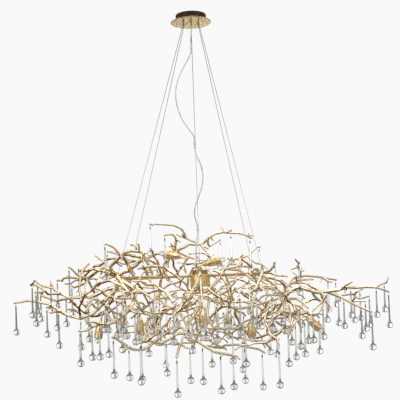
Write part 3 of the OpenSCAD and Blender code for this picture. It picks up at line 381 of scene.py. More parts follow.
SHADOW_BRASS = (0.13, 0.065, 0.025)
BROWN_BRASS = (0.38, 0.19, 0.062)
GOLD_BRASS = (0.84, 0.61, 0.31)
PALE_BRASS = (0.90, 0.79, 0.59)


def cast_brass():
    """Gilt casting: pale on the ridges, gold on the flanks, brown in the grooves and forks, with wide
    patches where the brown patina is thicker, and painted shade darkening the left and right ends."""
    f = Finish("cast_brass_gilt")
    relief = f.attribute("relief")
    cloud = f.noise(28.0, 3.0)
    fine = f.noise(420.0, 4.0)
    patch = f.noise(5.0, 2.0)
    across = f.along("X")
    # Painted shade: the tone falls towards the left and right ends of the chandelier
    painted_end_shade = f.limit(across, -0.85, -0.36, 0.42, 0.0) + f.limit(across, 0.50, 0.86, 0.0, 0.14)
    tone = relief * 0.95 + cloud * 0.30 + fine * 0.26 + patch * 0.70 - 0.58 - painted_end_shade
    color = f.ramp(tone, (0.22, SHADOW_BRASS), (0.40, BROWN_BRASS), (0.56, GOLD_BRASS),
                   (0.74, PALE_BRASS))
    rough = f.limit(tone, 0.25, 0.75, 0.52, 0.27)
    return f.surface(Base_Color=color, Metallic=1.0, Roughness=rough,
                     Normal=f.bump(fine, 0.0006, 0.6))


def hammered_brass(name, dark, mid, light, scale):
    """Beaten sheet: round dents with a dark floor and a bright rim."""
    f = Finish(name)
    relief = f.attribute("relief")
    fine = f.noise(scale, 4.0)
    tone = relief * 0.80 + fine * 0.40 - 0.10
    color = f.ramp(tone, (0.14, dark), (0.40, mid), (0.70, light))
    return f.surface(Base_Color=color, Metallic=1.0, Roughness=f.limit(tone, 0.2, 0.8, 0.46, 0.22),
                     Normal=f.bump(fine, 0.0005, 0.5))


def bar_brass():
    """Drawn square tube: satin gold with lengthwise hairlines and darker patches."""
    f = Finish("bar_brass")
    lines = f.noise(90.0, 3.0, (0.15, 0.15, 3.0))
    cloud = f.noise(14.0, 3.0)
    tone = lines * 0.5 + cloud * 0.5
    color = f.ramp(tone, (0.30, (0.42, 0.26, 0.11)), (0.52, (0.74, 0.54, 0.29)),
                   (0.75, (0.92, 0.78, 0.52)))
    return f.surface(Base_Color=color, Metallic=1.0, Roughness=f.limit(cloud, 0.3, 0.7, 0.36, 0.24),
                     Normal=f.bump(lines, 0.0003, 0.4))


def satin_metal(name, dark, light, rough, scale=160.0, metallic=1.0):
    """Metal with a faint cloud and hairlines."""
    f = Finish(name)
    cloud = f.noise(scale, 3.0, (1.0, 1.0, 0.3))
    wear = f.noise(scale * 0.12, 2.0)
    tone = cloud * 0.5 + wear * 0.5
    color = f.ramp(tone, (0.32, dark), (0.68, light))
    return f.surface(Base_Color=color, Metallic=metallic,
                     Roughness=f.limit(tone, 0.3, 0.7, rough + 0.07, rough - 0.05),
                     Normal=f.bump(cloud, 0.0002, 0.3))


def rope_steel():
    """Stainless wire rope: dark near the canopy and paler further down, with a faint cloud."""
    f = Finish("wire_steel")
    cloud = f.noise(160.0, 3.0, (1.0, 1.0, 0.3))
    tone = f.limit(f.along("Z"), -1.0, -0.25, 0.95, 0.05) + cloud * 0.3 - 0.15
    color = f.ramp(tone, (0.0, (0.035, 0.029, 0.024)), (1.0, (0.60, 0.60, 0.61)))
    return f.surface(Base_Color=color, Metallic=0.3, Roughness=f.limit(tone, 0.0, 1.0, 0.45, 0.32),
                     Normal=f.bump(cloud, 0.0002, 0.3))


def bronze_paint():
    """Dark brown lacquer with a leathery surface and lighter rubbed spots."""
    f = Finish("bronze_paint_dark")
    cloud = f.noise(34.0, 4.0)
    fine = f.noise(320.0, 3.0)
    tone = cloud * 0.7 + fine * 0.3
    color = f.ramp(tone, (0.35, (0.024, 0.011, 0.005)), (0.60, (0.060, 0.029, 0.015)),
                   (0.74, (0.18, 0.105, 0.066)))
    return f.surface(Base_Color=color, Roughness=f.limit(tone, 0.3, 0.7, 0.60, 0.45),
                     Specular_IOR_Level=0.06, Normal=f.bump(fine, 0.0004, 0.5))


def drop_glass():
    """Clear solid glass with painted shade: grey towards its outline and on the parts that the
    attribute gives. The attribute says how much of this painted grey each part of a drop takes."""
    f = Finish("drop_glass_clear")
    ripple = f.noise(60.0, 1.0)
    facing = f.node("ShaderNodeLayerWeight", None, {"Blend": 0.5}, "Facing")
    rim_shade = facing + ripple * 0.10 - 0.05
    stem = f.attribute("stem")
    tone = rim_shade * (stem * 0.40 + 0.54) + stem * 0.62
    color = f.ramp(tone, (0.0, (0.95, 0.95, 0.93)), (0.16, (0.87, 0.875, 0.85)),
                   (0.36, (0.44, 0.44, 0.42)), (0.60, (0.10, 0.10, 0.095)), (1.0, (0.04, 0.04, 0.04)))
    return f.surface(Base_Color=color, Roughness=0.01, IOR=1.50, Transmission_Weight=1.0,
                     Normal=f.bump(ripple, 0.0002, 0.3))


def bulb_glass():
    """Pearl glass with a faint haze."""
    f = Finish("bulb_glass_pearl")
    haze = f.noise(50.0, 2.0)
    color = f.ramp(haze, (0.3, (0.88, 0.88, 0.86)), (0.7, (0.96, 0.96, 0.95)))
    return f.surface(Base_Color=color, Roughness=f.limit(haze, 0.3, 0.7, 0.10, 0.22), IOR=1.46,
                     Transmission_Weight=0.7)


def clear_plastic():
    """Clear sheath over the tinned wires of the supply cord."""
    f = Finish("cord_clear")
    strands = f.noise(260.0, 2.0, (1.0, 1.0, 0.15))
    color = f.ramp(strands, (0.35, (0.40, 0.43, 0.43)), (0.65, (0.72, 0.75, 0.75)))
    return f.surface(Base_Color=color, Metallic=0.25, Roughness=f.limit(strands, 0.3, 0.7, 0.30, 0.18),
                     Coat_Weight=0.6, Normal=f.bump(strands, 0.0002, 0.4))


def plain_finish(name, dark, light, rough):
    """Moulded plastic or glazed ceramic with a faint mottle."""
    f = Finish(name)
    mottle = f.noise(120.0, 3.0)
    color = f.ramp(mottle, (0.35, dark), (0.65, light))
    return f.surface(Base_Color=color, Roughness=f.limit(mottle, 0.3, 0.7, rough + 0.06, rough - 0.05),
                     Normal=f.bump(mottle, 0.0002, 0.3))


# Cord and ropes

# The power cord's route in mm, as the solid's
CORD_ROUTE = [
    (0, -18, -44), (0, -18, -62), (0, -17, -80), (-3, -10, -110), (-5, 0, -135), (-5, 0, -149),
    (-5, 0, -165), (-5, 0, -179), (-18, 0, -210), (-52, -5, -270), (-78, -10, -330),
    (-88, -12, -390), (-82, -10, -450), (-62, -6, -510), (-30, -3, -562), (-9, -1, -592),
    (-5, 0, -606), (-5, 0, -620), (-5, 0, -636), (-5, 0, -650), (2, -13, -690), (22, -14, -740),
    (31, -10, -790), (25, -9, -845), (10, -9, -890), (-8, -8, -935), (-16, -4, -975),
    (-12, -1, -1010), (-5, 0, -1036), (-5, 0, -1050), (-5, 0, -1066), (-5, 0, -1080),
    (-9, -4, -1110), (-14, -12, -1150), (-16, -17, -1190), (-16, -18, -1218), (-16, -18, -1234),
    (-16, -18, -1250)]


def make_cord(finish):
    """The supply cord: a round tube along its route, which winds about the centre wire."""
    route = catmull(np.array(CORD_ROUTE) * MM, 6)
    piece = make_mesh("supply_cord", *many(tube(route, CORD_D / 2, 16)))
    fitted(piece, finish, "fixture", "clear_plastic", "power_cord")


RIB_STEP, RIB_HEIGHT = 3 * MM, 0.35 * MM


def make_cord_relief(name, start, way, finish):
    """Tapered ribbed sleeve of the cord where it leaves a gland: the radius falls evenly, with a
    rib every 3 mm."""
    length, play = 22 * MM, 0.02 * MM
    z = np.linspace(0, length, 45)
    rib = RIB_HEIGHT * np.maximum(0, np.sin(TURN * z / RIB_STEP))
    r = (4.6 - 1.3 * z / length) * MM + rib
    r = np.concatenate([[CORD_D / 2 + play], r, [CORD_D / 2 + play]])
    z = np.concatenate([[0.0], z, [length]])
    piece = make_mesh(name, *many(turned(np.stack([r, z], 1), 24, start, (0, 0, way))))
    fitted(piece, finish, "fixture", "gland_plastic")


WIRE_R = 0.75 * MM
ROPE_R, STRAND_HEIGHT, STRANDS = 1.20, 0.12, 6
ROPE_LAY = 14 * MM
ROPE_SIDES = 12


def wire_ends(low, high):
    """Upper end and way of a slanting wire, from the box of its solid: the box is as large as the
    wire's run plus its thickness. The wire runs outwards and down from its inner end."""
    middle, half = (low + high) / 2, (high - low) / 2
    along = unit(half)
    for _ in range(3):
        reach = np.maximum(half - WIRE_R * np.sqrt(1 - along ** 2), 0)
        along = unit(reach)
    run = reach * np.array([np.sign(middle[0]), np.sign(middle[1]), -1.0])
    return middle - run, unit(run), 2 * float(np.linalg.norm(reach))


def make_rope(node, finish):
    """Wires of a node as ropes of six strands: radius 1.20 + 0.12 cos 6t mm, where t turns once
    every 14 mm of length."""
    ropes = []
    for low, high in zip(*separate_boxes(node)):
        start, way, length = wire_ends(low, high)
        side = unit(np.cross(way, DEPTH))
        other = np.cross(way, side)
        place = np.linspace(0, length, int(length / (ROPE_LAY / 8)) + 1)[:, None]
        t = angles(ROPE_SIDES)[None, :]
        r = (ROPE_R + STRAND_HEIGHT * np.cos(STRANDS * t)) * MM
        turn = t + place * TURN / ROPE_LAY
        ropes.append(many(start + place[..., None] * way + (r * np.cos(turn))[..., None] * side
                          + (r * np.sin(turn))[..., None] * other))
    fitted(make_mesh("rope_" + node, *joined(ropes)), finish, "fixture", "steel", node)


# Boughs

VOXEL, QUICK_VOXEL = 1.7 * MM, 3.0 * MM
ROUNDS, KEEP = 8, 0.46
AXIS_ROUNDS, RIDGE_ROUNDS, HOLLOW_ROUNDS = 12, 14, 3
OWN_SHARE = 0.3
# Thickness in mm that the photograph's boughs have over the solids', and that of slender pieces
SWELL, SLENDER_SWELL = 2.6, 0.3
SLENDER = ("lamp_arms", "sprig_front")
RIDGE_SIZE, FINE_SIZE, KNOB_SIZE, PIT_SIZE = 2.6 * MM, 3.5 * MM, 13 * MM, 9 * MM


def smoothed(points, a, b):
    """Each round moves every point towards the mean of its neighbours by 0.5, then away by 0.46,
    which rounds the surface and holds its thickness."""
    count = np.bincount(a, minlength=len(points)) + np.bincount(b, minlength=len(points))
    for _ in range(ROUNDS):
        for step in (0.5, -KEEP):
            total = np.stack([np.bincount(a, points[b, c], len(points))
                              + np.bincount(b, points[a, c], len(points)) for c in range(3)], 1)
            points = points + step * (total / count[:, None] - points)
    return points


def spread(value, a, b, weight, rounds):
    """Mean of a value over weighted neighbours, taken again and again."""
    total = np.bincount(a, weight, len(value)) + np.bincount(b, weight, len(value)) + OWN_SHARE
    for _ in range(rounds):
        value = (OWN_SHARE * value + np.bincount(a, weight * value[b], len(value))
                 + np.bincount(b, weight * value[a], len(value))) / total
    return value


def branch_axis(normals, a, b):
    """Direction of the branch at each point: the direction that the normals round about it lean
    to least, which is the least eigenvector of their averaged outer product."""
    outer = normals[:, :, None] * normals[:, None, :]
    even = np.ones(len(a))
    flat = np.stack([spread(outer[:, r, c], a, b, even, AXIS_ROUNDS) for r, c in
                     ((0, 0), (0, 1), (0, 2), (1, 1), (1, 2), (2, 2))], 1)
    full = flat[:, [0, 1, 2, 1, 3, 4, 2, 4, 5]].reshape(-1, 3, 3)
    return np.linalg.eigh(full)[1][:, :, 0]


def remeshed(node, voxel):
    """A merged copy of a node's solid, rebuilt in even four-sided faces."""
    points, faces = corners(node)
    mesh = bpy.data.meshes.new(node + "_copy")
    mesh.from_pydata(points.tolist(), [], faces.tolist())
    helper = bpy.data.objects.new(node + "_copy", mesh)
    bpy.context.scene.collection.objects.link(helper)
    modifier = helper.modifiers.new("even", "REMESH")
    modifier.mode = "VOXEL"
    modifier.voxel_size = voxel
    bpy.context.view_layer.update()
    even = bpy.data.meshes.new_from_object(helper.evaluated_get(bpy.context.evaluated_depsgraph_get()))
    bpy.data.objects.remove(helper)
    arrays = arrays_of(even, 4)
    bpy.data.meshes.remove(even)
    return arrays


def normals_of(points, quads):
    """Outward direction at each point: the sum of the cross products of its faces' diagonals."""
    cross = np.cross(points[quads[:, 2]] - points[quads[:, 0]], points[quads[:, 3]] - points[quads[:, 1]])
    total = np.stack([sum(np.bincount(quads[:, k], cross[:, c], len(points)) for k in range(4))
                      for c in range(3)], 1)
    return total / np.maximum(np.linalg.norm(total, axis=1, keepdims=True), 1e-12)


def bark(points, seed, knob_from):
    """Fine lumps, knobs where a slow random height passes knob_from, and pits where another one
    falls below -0.35, at each point."""
    fine = lumps(points, FINE_SIZE, seed + 40)
    knob = np.maximum(0, lumps(points, KNOB_SIZE, seed + 80) - knob_from) ** 1.3
    pit = np.minimum(0, lumps(points, PIT_SIZE, seed + 120) + 0.35)
    return fine, knob, pit


def bark_ridges(points, quads, a, b, axis, seed):
    """Ridges along the branch: a random height averaged again and again over its neighbours,
    where steps along the branch count most, by the eighth power of the cosine between them."""
    from_a, to_b = np.concatenate([np.stack([a, b], 1), quads[:, [0, 2]], quads[:, [1, 3]]]).T
    step = unit(points[to_b] - points[from_a] + 1e-9)
    lean = np.abs((step * axis[from_a]).sum(1)) ** 8
    ridge = spread(lumps(points, RIDGE_SIZE, seed), from_a, to_b, lean, RIDGE_ROUNDS)
    return np.tanh(1.2 * ridge / max(ridge.std(), 1e-9))


def make_branch(node, number, finish):
    """A cast bough: the solid's own form, rounded and a little thicker, with bark ridges that run
    along the branch, knobs and pits. The height is the swelling + 0.50 ridge + 0.35 fine lump
    + 1.9 knob + 0.6 pit, in millimetres. The relief that the finish reads adds the ridges, takes
    off the hollows and forks, and is greater where the surface faces up, as painted light on the
    upper sides and painted shade on the undersides."""
    points, quads = remeshed(node, VOXEL)
    a, b = np.concatenate([quads[:, [0, 1]], quads[:, [1, 2]], quads[:, [2, 3]], quads[:, [3, 0]]]).T
    once = a < b
    a, b = a[once], b[once]
    points = smoothed(points, a, b)
    normal = normals_of(points, quads)
    ridge = bark_ridges(points, quads, a, b, branch_axis(normal, a, b), number + 7)
    fine, knob, pit = bark(points, number, 0.25)
    swell = SLENDER_SWELL if node.startswith(SLENDER) else SWELL
    height = swell + 0.50 * ridge + 0.35 * fine + 1.9 * knob + 0.6 * pit
    moved = points + normal * (height * MM)[:, None]
    even = np.ones(len(a))
    mean = np.stack([spread(moved[:, c], a, b, even, HOLLOW_ROUNDS) for c in range(3)], 1)
    hollow = ((mean - moved) * normal).sum(1) / MM
    piece = make_mesh("cast_" + node, moved, quads)
    # Painted light and shade: 0.30 normal z lightens the upper sides and darkens the undersides
    set_value(piece, "relief", 0.52 + 0.30 * ridge + 0.12 * fine + 0.30 * knob - 1.1 * hollow
              + 0.30 * pit + 0.30 * normal[:, 2])
    fitted(piece, finish, "fixture", "cast_brass", node)


# Twigs

# Outline of the thicket in the picture, as its upper and lower heights over x
THICKET_X = np.array([-0.69, -0.59, -0.47, -0.30, -0.17, 0.0, 0.19, 0.32, 0.43, 0.58, 0.66])
THICKET_TOP = np.array([-1.30, -1.23, -1.15, -1.15, -1.15, -1.16, -1.20, -1.26, -1.30, -1.345, -1.37])
THICKET_LOW = np.array([-1.40, -1.47, -1.54, -1.60, -1.64, -1.665, -1.67, -1.65, -1.60, -1.55, -1.42])
# Side of the picture's cells that twigs are to fill
CELL = 0.017
TWIG_COUNT, TWIG_TRIES, SPUR_COUNT = 84, 22, 120
# How many twigs start on boughs only, and what share of the later ones starts on other twigs
FIRST_TWIGS, LATE_SHARE = 12, 0.45
# Radii in mm: of the boughs, and ranges for roots and tips
BOUGH_R, ROOT_R, TIP_R, SPUR_ROOT_R, SPUR_TIP_R = 8.0, (5.6, 8.0), (3.2, 4.2), (4.0, 5.0), (2.6, 3.2)
# Ranges in mm for the way from kink to kink and for the length of a spur
KINK_TO_KINK, SPUR_LENGTH = (26, 40), (16, 34)
# Points from kink to kink, and how many of the first points may stand in the bough
STEPS, ROOT_POINTS = 10, 14
# Distances kept: from spur to spur, from hard pieces, and from the end drops' swings
SPUR_SPACING, ROOM, SWING_ROOM = 40 * MM, 3 * MM, 22 * MM
# Half the side of the square that hides the hub can, and the stretch and half width of a sleeve
HUB_HALF, SLEEVE_FROM, SLEEVE_TO, SLEEVE_HALF = 0.055, 0.015, 0.085, 0.023
HARD_NODES = ("drops", "end_drop", "drop_hooks", "lamp_sleeves", "bulbs", "lampholders", "power_cord",
              "suspension_wires", "centre_wire", "wire_anchors", "cord_clips", "hub", "beam", "cross_bar",
              "spoke", "frame_braces", "cord_glands")


def hard_surfaces():
    """Search tree over everything that the added twigs keep clear of."""
    points, faces, _ = joined([(*corners(node), ()) for node in sorted(NODES)
                               if node.startswith(HARD_NODES)])
    return BVHTree.FromPolygons(points.tolist(), faces.tolist())


def seen_from_front(points):
    """Where points stand in the picture: x and z drawn together towards the eye's level by the
    depth, as (x, z) / (1 + y / the eye's distance)."""
    level = [CAMERA_AT[0], CAMERA_AT[2]]
    return (points[:, [0, 2]] - level) / (1 + points[:, 1:2] / -CAMERA_AT[1]) + level


def picture_cells(points):
    """The cells of the picture that points fall in."""
    return {tuple(cell) for cell in np.floor(seen_from_front(points) / CELL).astype(int)}


def within(flat):
    """Whether places in the picture lie in the thicket's outline, given as heights over x."""
    x, z = flat[:, 0], flat[:, 1]
    return ((np.abs(x) < THICKET_X[-1]) & (z < np.interp(x, THICKET_X, THICKET_TOP))
            & (z > np.interp(x, THICKET_X, THICKET_LOW)))


def lamp_axis(neck, lean):
    """Where a lamp's neck is, with its depth drawn out from the eye, and which way it points."""
    k = 1 + neck[1] / EYE_DISTANCE
    height = HUB_Z / MM + EYE_ABOVE_HUB + (neck[2] - EYE_ABOVE_HUB) * k
    lean = math.radians(lean)
    return np.array([neck[0] * k, neck[1], height]) * MM, np.array([math.sin(lean), 0, -math.cos(lean)])


def hides_lamp_or_hub(points):
    """Whether any of the points stands in the picture before a lamp's sleeve or the hub can."""
    flat = seen_from_front(points)
    if ((np.abs(flat - [0.0, HUB_Z]) < HUB_HALF).all(1) & (points[:, 1] < 0)).any():
        return True
    for neck, lean in LAMP_NECKS:
        start, axis = lamp_axis(neck, lean)
        top, low = seen_from_front(np.stack([start + SLEEVE_FROM * axis, start + SLEEVE_TO * axis]))
        along = np.clip((flat - top) @ (low - top) / ((low - top) ** 2).sum(), 0, 1)
        near = np.linalg.norm(flat - top - along[:, None] * (low - top), axis=1) < SLEEVE_HALF
        if (near & (points[:, 1] < start[1])).any():
            return True
    return False


def crooked(rng, start, heading, steps, length):
    """Points of a twig: each step turns by a slow bend and by a kink to alternate sides."""
    bend, lean = rng.uniform(-0.20, 0.20), rng.uniform(-0.35, 0.35)
    side = rng.choice([-1, 1])
    points = [start]
    for number in range(steps):
        heading += bend + side * (-1) ** number * rng.uniform(0.04, 0.42) + rng.uniform(-0.20, 0.20)
        lean = np.clip(lean + rng.uniform(-0.25, 0.25), -0.6, 0.6)
        level = math.cos(lean)
        way = np.array([math.cos(heading) * level, math.sin(lean), math.sin(heading) * level])
        points.append(points[-1] + way * length)
    return np.array(points)


def swing_circles():
    """Hinge and length of each end drop, as rows of x, y, z and length."""
    rows = []
    for node, length in END_DROP_LENGTHS.items():
        low, high = separate_boxes(node)
        x, y, _ = ((low + high) / 2)[0]
        rows.append((x, y, low[0, 2] + BALL_R + length, length))
    return rows


def is_clear(points, radius, hard, swings):
    """Whether a twig's points keep 3 mm off the hard pieces, out of the end drops' swings and
    out of the way of the lamps and the hub."""
    if any(hard.find_nearest(p)[3] < r + ROOM for p, r in zip(points.tolist(), radius)):
        return False
    for x, y, z, length in swings:
        level = np.abs(points[:, 1] - y) < radius + SWING_ROOM
        if (level & (np.hypot(points[:, 0] - x, points[:, 2] - z) < length + radius + SWING_ROOM)).any():
            return False
    return not hides_lamp_or_hub(points)


def bough_skin():
    """Middles and outward directions of the boughs' and sprigs' triangles, and the cells of the
    picture that they fill."""
    middles, normals, filled = [], [], set()
    for node in sorted(n for n in NODES if n.startswith(("bough", "sprig"))):
        points, faces = corners(node)
        tri = points[faces]
        middles.append(tri.mean(1))
        normals.append(unit(np.cross(tri[:, 1] - tri[:, 0], tri[:, 2] - tri[:, 0]) + 1e-15))
        filled |= picture_cells(np.vstack([points, middles[-1]]))
    return np.vstack(middles), np.vstack(normals), filled


def tried_twig(rng, start, thick, late):
    """One try at a twig: its kinks, its path, and its radii at the root and the tip in mm."""
    root = min(thick, rng.uniform(*ROOT_R))
    tip = rng.uniform(*TIP_R)
    steps = int(rng.integers(3, 6)) if late else int(rng.integers(5, 11))
    heading = rng.choice([0, math.pi]) + rng.normal(0, 0.75)
    kinks = crooked(rng, start, heading, steps, rng.uniform(*KINK_TO_KINK) * MM)
    return kinks, catmull(kinks, STEPS), root, tip


def grown_twigs(rng, middle, normal, filled, kept_clear):
    """Paths and end radii of the long twigs. Each starts inside a bough or, later on, on an
    earlier twig; of several tries, the one that fills most empty cells of the picture stays, if
    it keeps clear of the drops, lamps, wires and bars."""
    inside = within(seen_from_front(middle))
    starts = [(place, BOUGH_R) for place in (middle - 3.5 * MM * normal)[inside]]
    from_boughs, twigs = len(starts), []
    for number in range(TWIG_COUNT):
        most, best = 0, None
        for _ in range(TWIG_TRIES):
            late = number > FIRST_TWIGS and rng.random() < LATE_SHARE
            pick = rng.integers(from_boughs, len(starts)) if late else rng.integers(from_boughs)
            kinks, path, root, tip = tried_twig(rng, *starts[pick], late)
            radius = np.linspace(root, tip, len(path)) * MM
            if not is_clear(path[ROOT_POINTS::3], radius[ROOT_POINTS::3], *kept_clear):
                continue
            cells = picture_cells(path)
            outside = int((~within(seen_from_front(path[::4]))).sum())
            new = len(cells - filled) - 3 * outside
            if new > most:
                most, best = new, (kinks, path, root, tip, cells)
        if best is not None:
            kinks, path, root, tip, cells = best
            filled |= cells
            twigs.append((path, root, tip))
            radius = np.linspace(root, tip, len(kinks))
            starts += [(place, 0.85 * thick) for place, thick in list(zip(kinks, radius))[2:-1]]
    return twigs


def grown_spurs(rng, wanted, middle, normal, kept_clear):
    """Paths and end radii of short spurs at random places on the boughs, curved outwards as
    start + length (way t + curl t^2)."""
    spurs, roots = [], []
    t = np.linspace(-0.06, 1, 11)[:, None]
    for number in rng.permutation(len(middle)):
        if len(spurs) >= wanted:
            break
        way = normal[number] + rng.normal(0, 0.35, 3)
        length, curl = rng.uniform(*SPUR_LENGTH) * MM, rng.normal(0, 0.3, 3)
        path = middle[number] + length * (unit(way) * t + curl * t ** 2)
        apart = not roots or np.linalg.norm(roots - middle[number], axis=1).min() > SPUR_SPACING
        sideways = abs(way[1]) < 0.7 * np.linalg.norm(way)
        if apart and sideways and is_clear(path[4:], np.full(7, 4 * MM), *kept_clear):
            roots.append(middle[number])
            spurs.append((path, rng.uniform(*SPUR_ROOT_R), rng.uniform(*SPUR_TIP_R)))
    return spurs


def twig_parts(path, root, tip, number, sides):
    """Points, faces, end faces and relief of one twig: a tube along its path, thicker at each kink
    and at the bud before its rounded end, with the height 0.70 ridge + 0.40 fine lump + 2.0 knob
    + 0.8 pit, in millimetres."""
    n = len(path)
    count = np.arange(n)
    radius = root + (tip - root) * np.linspace(0, 1, n) + 0.7 * np.cos(TURN * count / STEPS) ** 3
    end = np.clip((n - 1 - count) / 3.0, 0.02, 1)
    radius = (radius + 0.9 * np.exp(-((count - n + 4) / 2.0) ** 2)) * np.sqrt(end * (2 - end))
    flat = tube(path, radius * MM, sides).reshape(-1, 3)
    away = unit(flat - np.repeat(path, sides, axis=0))
    run = np.concatenate([[0], np.cumsum(np.linalg.norm(np.diff(path, axis=0), axis=1))])
    slow_run = np.repeat(run, sides)[:, None] * 0.22 * np.array([1.0, 0.6, 0.3])
    ridge = lumps(away * root * MM + slow_run, RIDGE_SIZE, 500 + number)
    fine, knob, pit = bark(flat, 500 + number, 0.2)
    height = (0.70 * ridge + 0.40 * fine + 2.0 * knob + 0.8 * pit) * np.repeat(end, sides)
    # Painted light and shade: 0.30 away z lightens the upper sides and darkens the undersides
    relief = 0.52 + 0.42 * ridge + 0.20 * fine + 0.35 * knob + 0.40 * pit + 0.30 * away[:, 2]
    points, quads, ends = many((flat + away * (height * MM)[:, None]).reshape(n, sides, 3))
    return (points, quads, ends), relief


def make_twigs(finish):
    """The added twigs and spurs, in three pieces."""
    rng = np.random.default_rng(23)
    kept_clear = hard_surfaces(), swing_circles()
    middle, normal, filled = bough_skin()
    twigs = grown_twigs(rng, middle, normal, filled, kept_clear)
    twigs += grown_spurs(rng, TWIG_COUNT + SPUR_COUNT - len(twigs), middle, normal, kept_clear)
    sides = 13
    for group, members in enumerate(np.array_split(np.arange(len(twigs)), 3), start=1):
        parts, reliefs = zip(*[twig_parts(*twigs[number], number, sides) for number in members])
        piece = make_mesh(f"cast_twigs_{group}", *joined(parts))
        set_value(piece, "relief", np.concatenate(reliefs))
        fitted(piece, finish, "fixture", "cast_brass")


# Drops

# Radius in mm of a stem at its ball, and how much it loses on the way up
STEM_LOW, STEM_TAPER = 4.6, 1.8
LOOP_R, LOOP_WIRE = 2.3 * MM, 0.9 * MM
RING_R, RING_WIRE = 3.6 * MM, 0.5 * MM
BUBBLE_WIDE, BUBBLE_LONG, BUBBLE_DOWN = 3.8 * MM, 8.0 * MM, 1.0 * MM
BUBBLE_INWARDS = 4 * MM
# How much painted shade the glass of stems and bubbles takes, over x
GLASS_SHADE_X, GLASS_SHADE = (-0.90, -0.55, -0.30, 0.30, 0.55, 0.90), (1.5, 0.75, 0.40, 0.40, 0.65, 1.25)
# Painted shade on the glass eye loops
LOOP_SHADE = 0.25


def drop_profile(length):
    """Radius and height of a drop about its hole: a ball, a knuckle and a stem that narrows
    upwards, joined by the ninth root of the sum of their ninth powers."""
    ball = -length - BALL_R * np.cos(np.linspace(0, math.pi * 0.93, 17))
    knuckle = np.linspace(ball[-1], -length + BALL_R + 9 * MM, 10)[1:]
    stem = np.linspace(knuckle[-1], -2.6 * MM, 7)[1:]
    z = np.concatenate([ball, knuckle, stem])
    knuckle_z = -length + BALL_R + 0.3 * 2 * KNUCKLE_R
    r_ball = np.sqrt(np.maximum(BALL_R ** 2 - (z + length) ** 2, 0))
    r_knuckle = np.sqrt(np.maximum(KNUCKLE_R ** 2 - (z - knuckle_z) ** 2, 0))
    along = np.clip((z + length - BALL_R) / (length - BALL_R), 0, 1)
    r_stem = np.where(z > -length, (STEM_LOW - STEM_TAPER * along) * MM, 0)
    r = ((r_ball / MM) ** 9 + (r_knuckle / MM) ** 9 + (r_stem / MM) ** 9) ** (1 / 9) * MM
    r[0] = 0.02 * MM
    return np.stack([r, z], 1)


def eye_rings():
    """Small glass loop round the hole: (R + r cos b) round the hole's axis, 1.25 r sin b along it."""
    a, b = angles(18)[:, None], angles(10)[None, :]
    reach = LOOP_R + LOOP_WIRE * np.cos(b)
    return np.stack([reach * np.cos(a), 1.25 * LOOP_WIRE * np.sin(b) + 0 * a, reach * np.sin(a)], -1)


def make_hooks(finish):
    """Wire rings that carry the drops: a ring square to the drop's hole, centre + (0, R + r cos b,
    turned by a), with a straight shank up into the bough."""
    low, high = separate_boxes("drop_hooks")
    middle = (low + high) / 2
    middle[:, 2] = low[:, 2] + RING_WIRE + RING_R
    a, b = angles(18)[:, None], angles(7)[None, ::-1]
    reach = RING_R + RING_WIRE * np.cos(b)
    loop = np.stack([RING_WIRE * np.sin(b) + 0 * a, reach * np.cos(a), reach * np.sin(a)], -1)
    shank_top = float((high[:, 2] - middle[:, 2]).min())
    shank = turned([(RING_WIRE, RING_R - 0.1 * MM), (RING_WIRE, shank_top)], 8)
    piece = make_mesh("drop_rings", *joined([many(loop, middle, closed=True), many(shank, middle)]))
    fitted(piece, finish, "fixture", "steel", "drop_hooks")


def painted_glass_shade(height, shade_share):
    """How much painted shade a drop's glass takes at a height over its ball's centre: some at the
    knuckle and, away from the middle of the chandelier, along the stem too."""
    knuckle = np.interp(height, np.array([0.88, 1.0, 1.4, 1.6, 8.0]) * BALL_R, [0, 0.67, 0.67, 0, 0])
    stem = np.interp(height, np.array([1.4, 1.6, 1.8, 8.0]) * BALL_R, [0, 0.52, 0.52, 0.63])
    return knuckle + stem * shade_share


def make_drops(node, length, body, finish):
    """All glass drops of a node: the same turned form, loop and long bubble in the ball at each
    drop's place. The bubble is the circle (3.8 sin a, -8.0 cos a) mm, turned, with its faces
    inwards, and stands 4 mm nearer to the middle of the chandelier for each metre from it."""
    low, high = separate_boxes(node)
    middle = (low + high) / 2
    holes = np.stack([middle[:, 0], middle[:, 1], low[:, 2] + BALL_R + length], 1)
    shade_share = np.interp(holes[:, 0], GLASS_SHADE_X, GLASS_SHADE)
    sides = 22
    profile = drop_profile(length)
    glass = many(turned(profile, sides), holes)
    loops = many(eye_rings(), holes, closed=True)
    a = np.linspace(0.06, math.pi - 0.06, 9)
    oval = np.stack([BUBBLE_WIDE * np.sin(a), -BUBBLE_LONG * np.cos(a)], 1)
    points, quads, ends = many(turned(oval, 12, (0, 0, -BUBBLE_DOWN - length)),
                               holes * (1 - BUBBLE_INWARDS, 1, 1))
    bubbles = points, quads[:, ::-1], [end[::-1] for end in ends]
    piece = make_mesh("glass_" + node, *joined([glass, loops, bubbles]))
    height = np.tile(np.repeat(profile[:, 1], sides), len(holes)) + length
    # Painted shade: the stem attribute greys the knuckles, the stems and bubbles towards the ends, and the
    # loops
    set_value(piece, "stem", np.concatenate([
        painted_glass_shade(height, np.repeat(shade_share, len(profile) * sides)),
        np.full(len(loops[0]), LOOP_SHADE),
        np.repeat(shade_share, len(points) // len(holes))]))
    fitted(piece, finish, body, "drop_glass", node)


# Sleeves and beaten pieces

SLEEVE_OUTSIDE = [(5.8, 0), (6.6, 8), (12, 17), (16, 27), (18.5, 42), (19.6, 60), (20, 80), (20, 88)]
SLEEVE_INSIDE = [(18.5, 88), (18.3, 60), (17, 42.4), (14.4, 28), (10.4, 18), (4.4, 9), (4.4, 0.2)]
SLEEVE_RINGS, SLEEVE_SIDES = 60, 48
# The relief lies between these rings of the outside
RELIEF_FROM, RELIEF_TO = 6, 57


def evenly(points, count):
    """Count points along the line through the given ones, as many on each stretch."""
    points = np.array(points, float)
    at, fine = np.linspace(0, 1, len(points)), np.linspace(0, 1, count)
    return np.stack([np.interp(fine, at, points[:, 0]), np.interp(fine, at, points[:, 1])], 1)


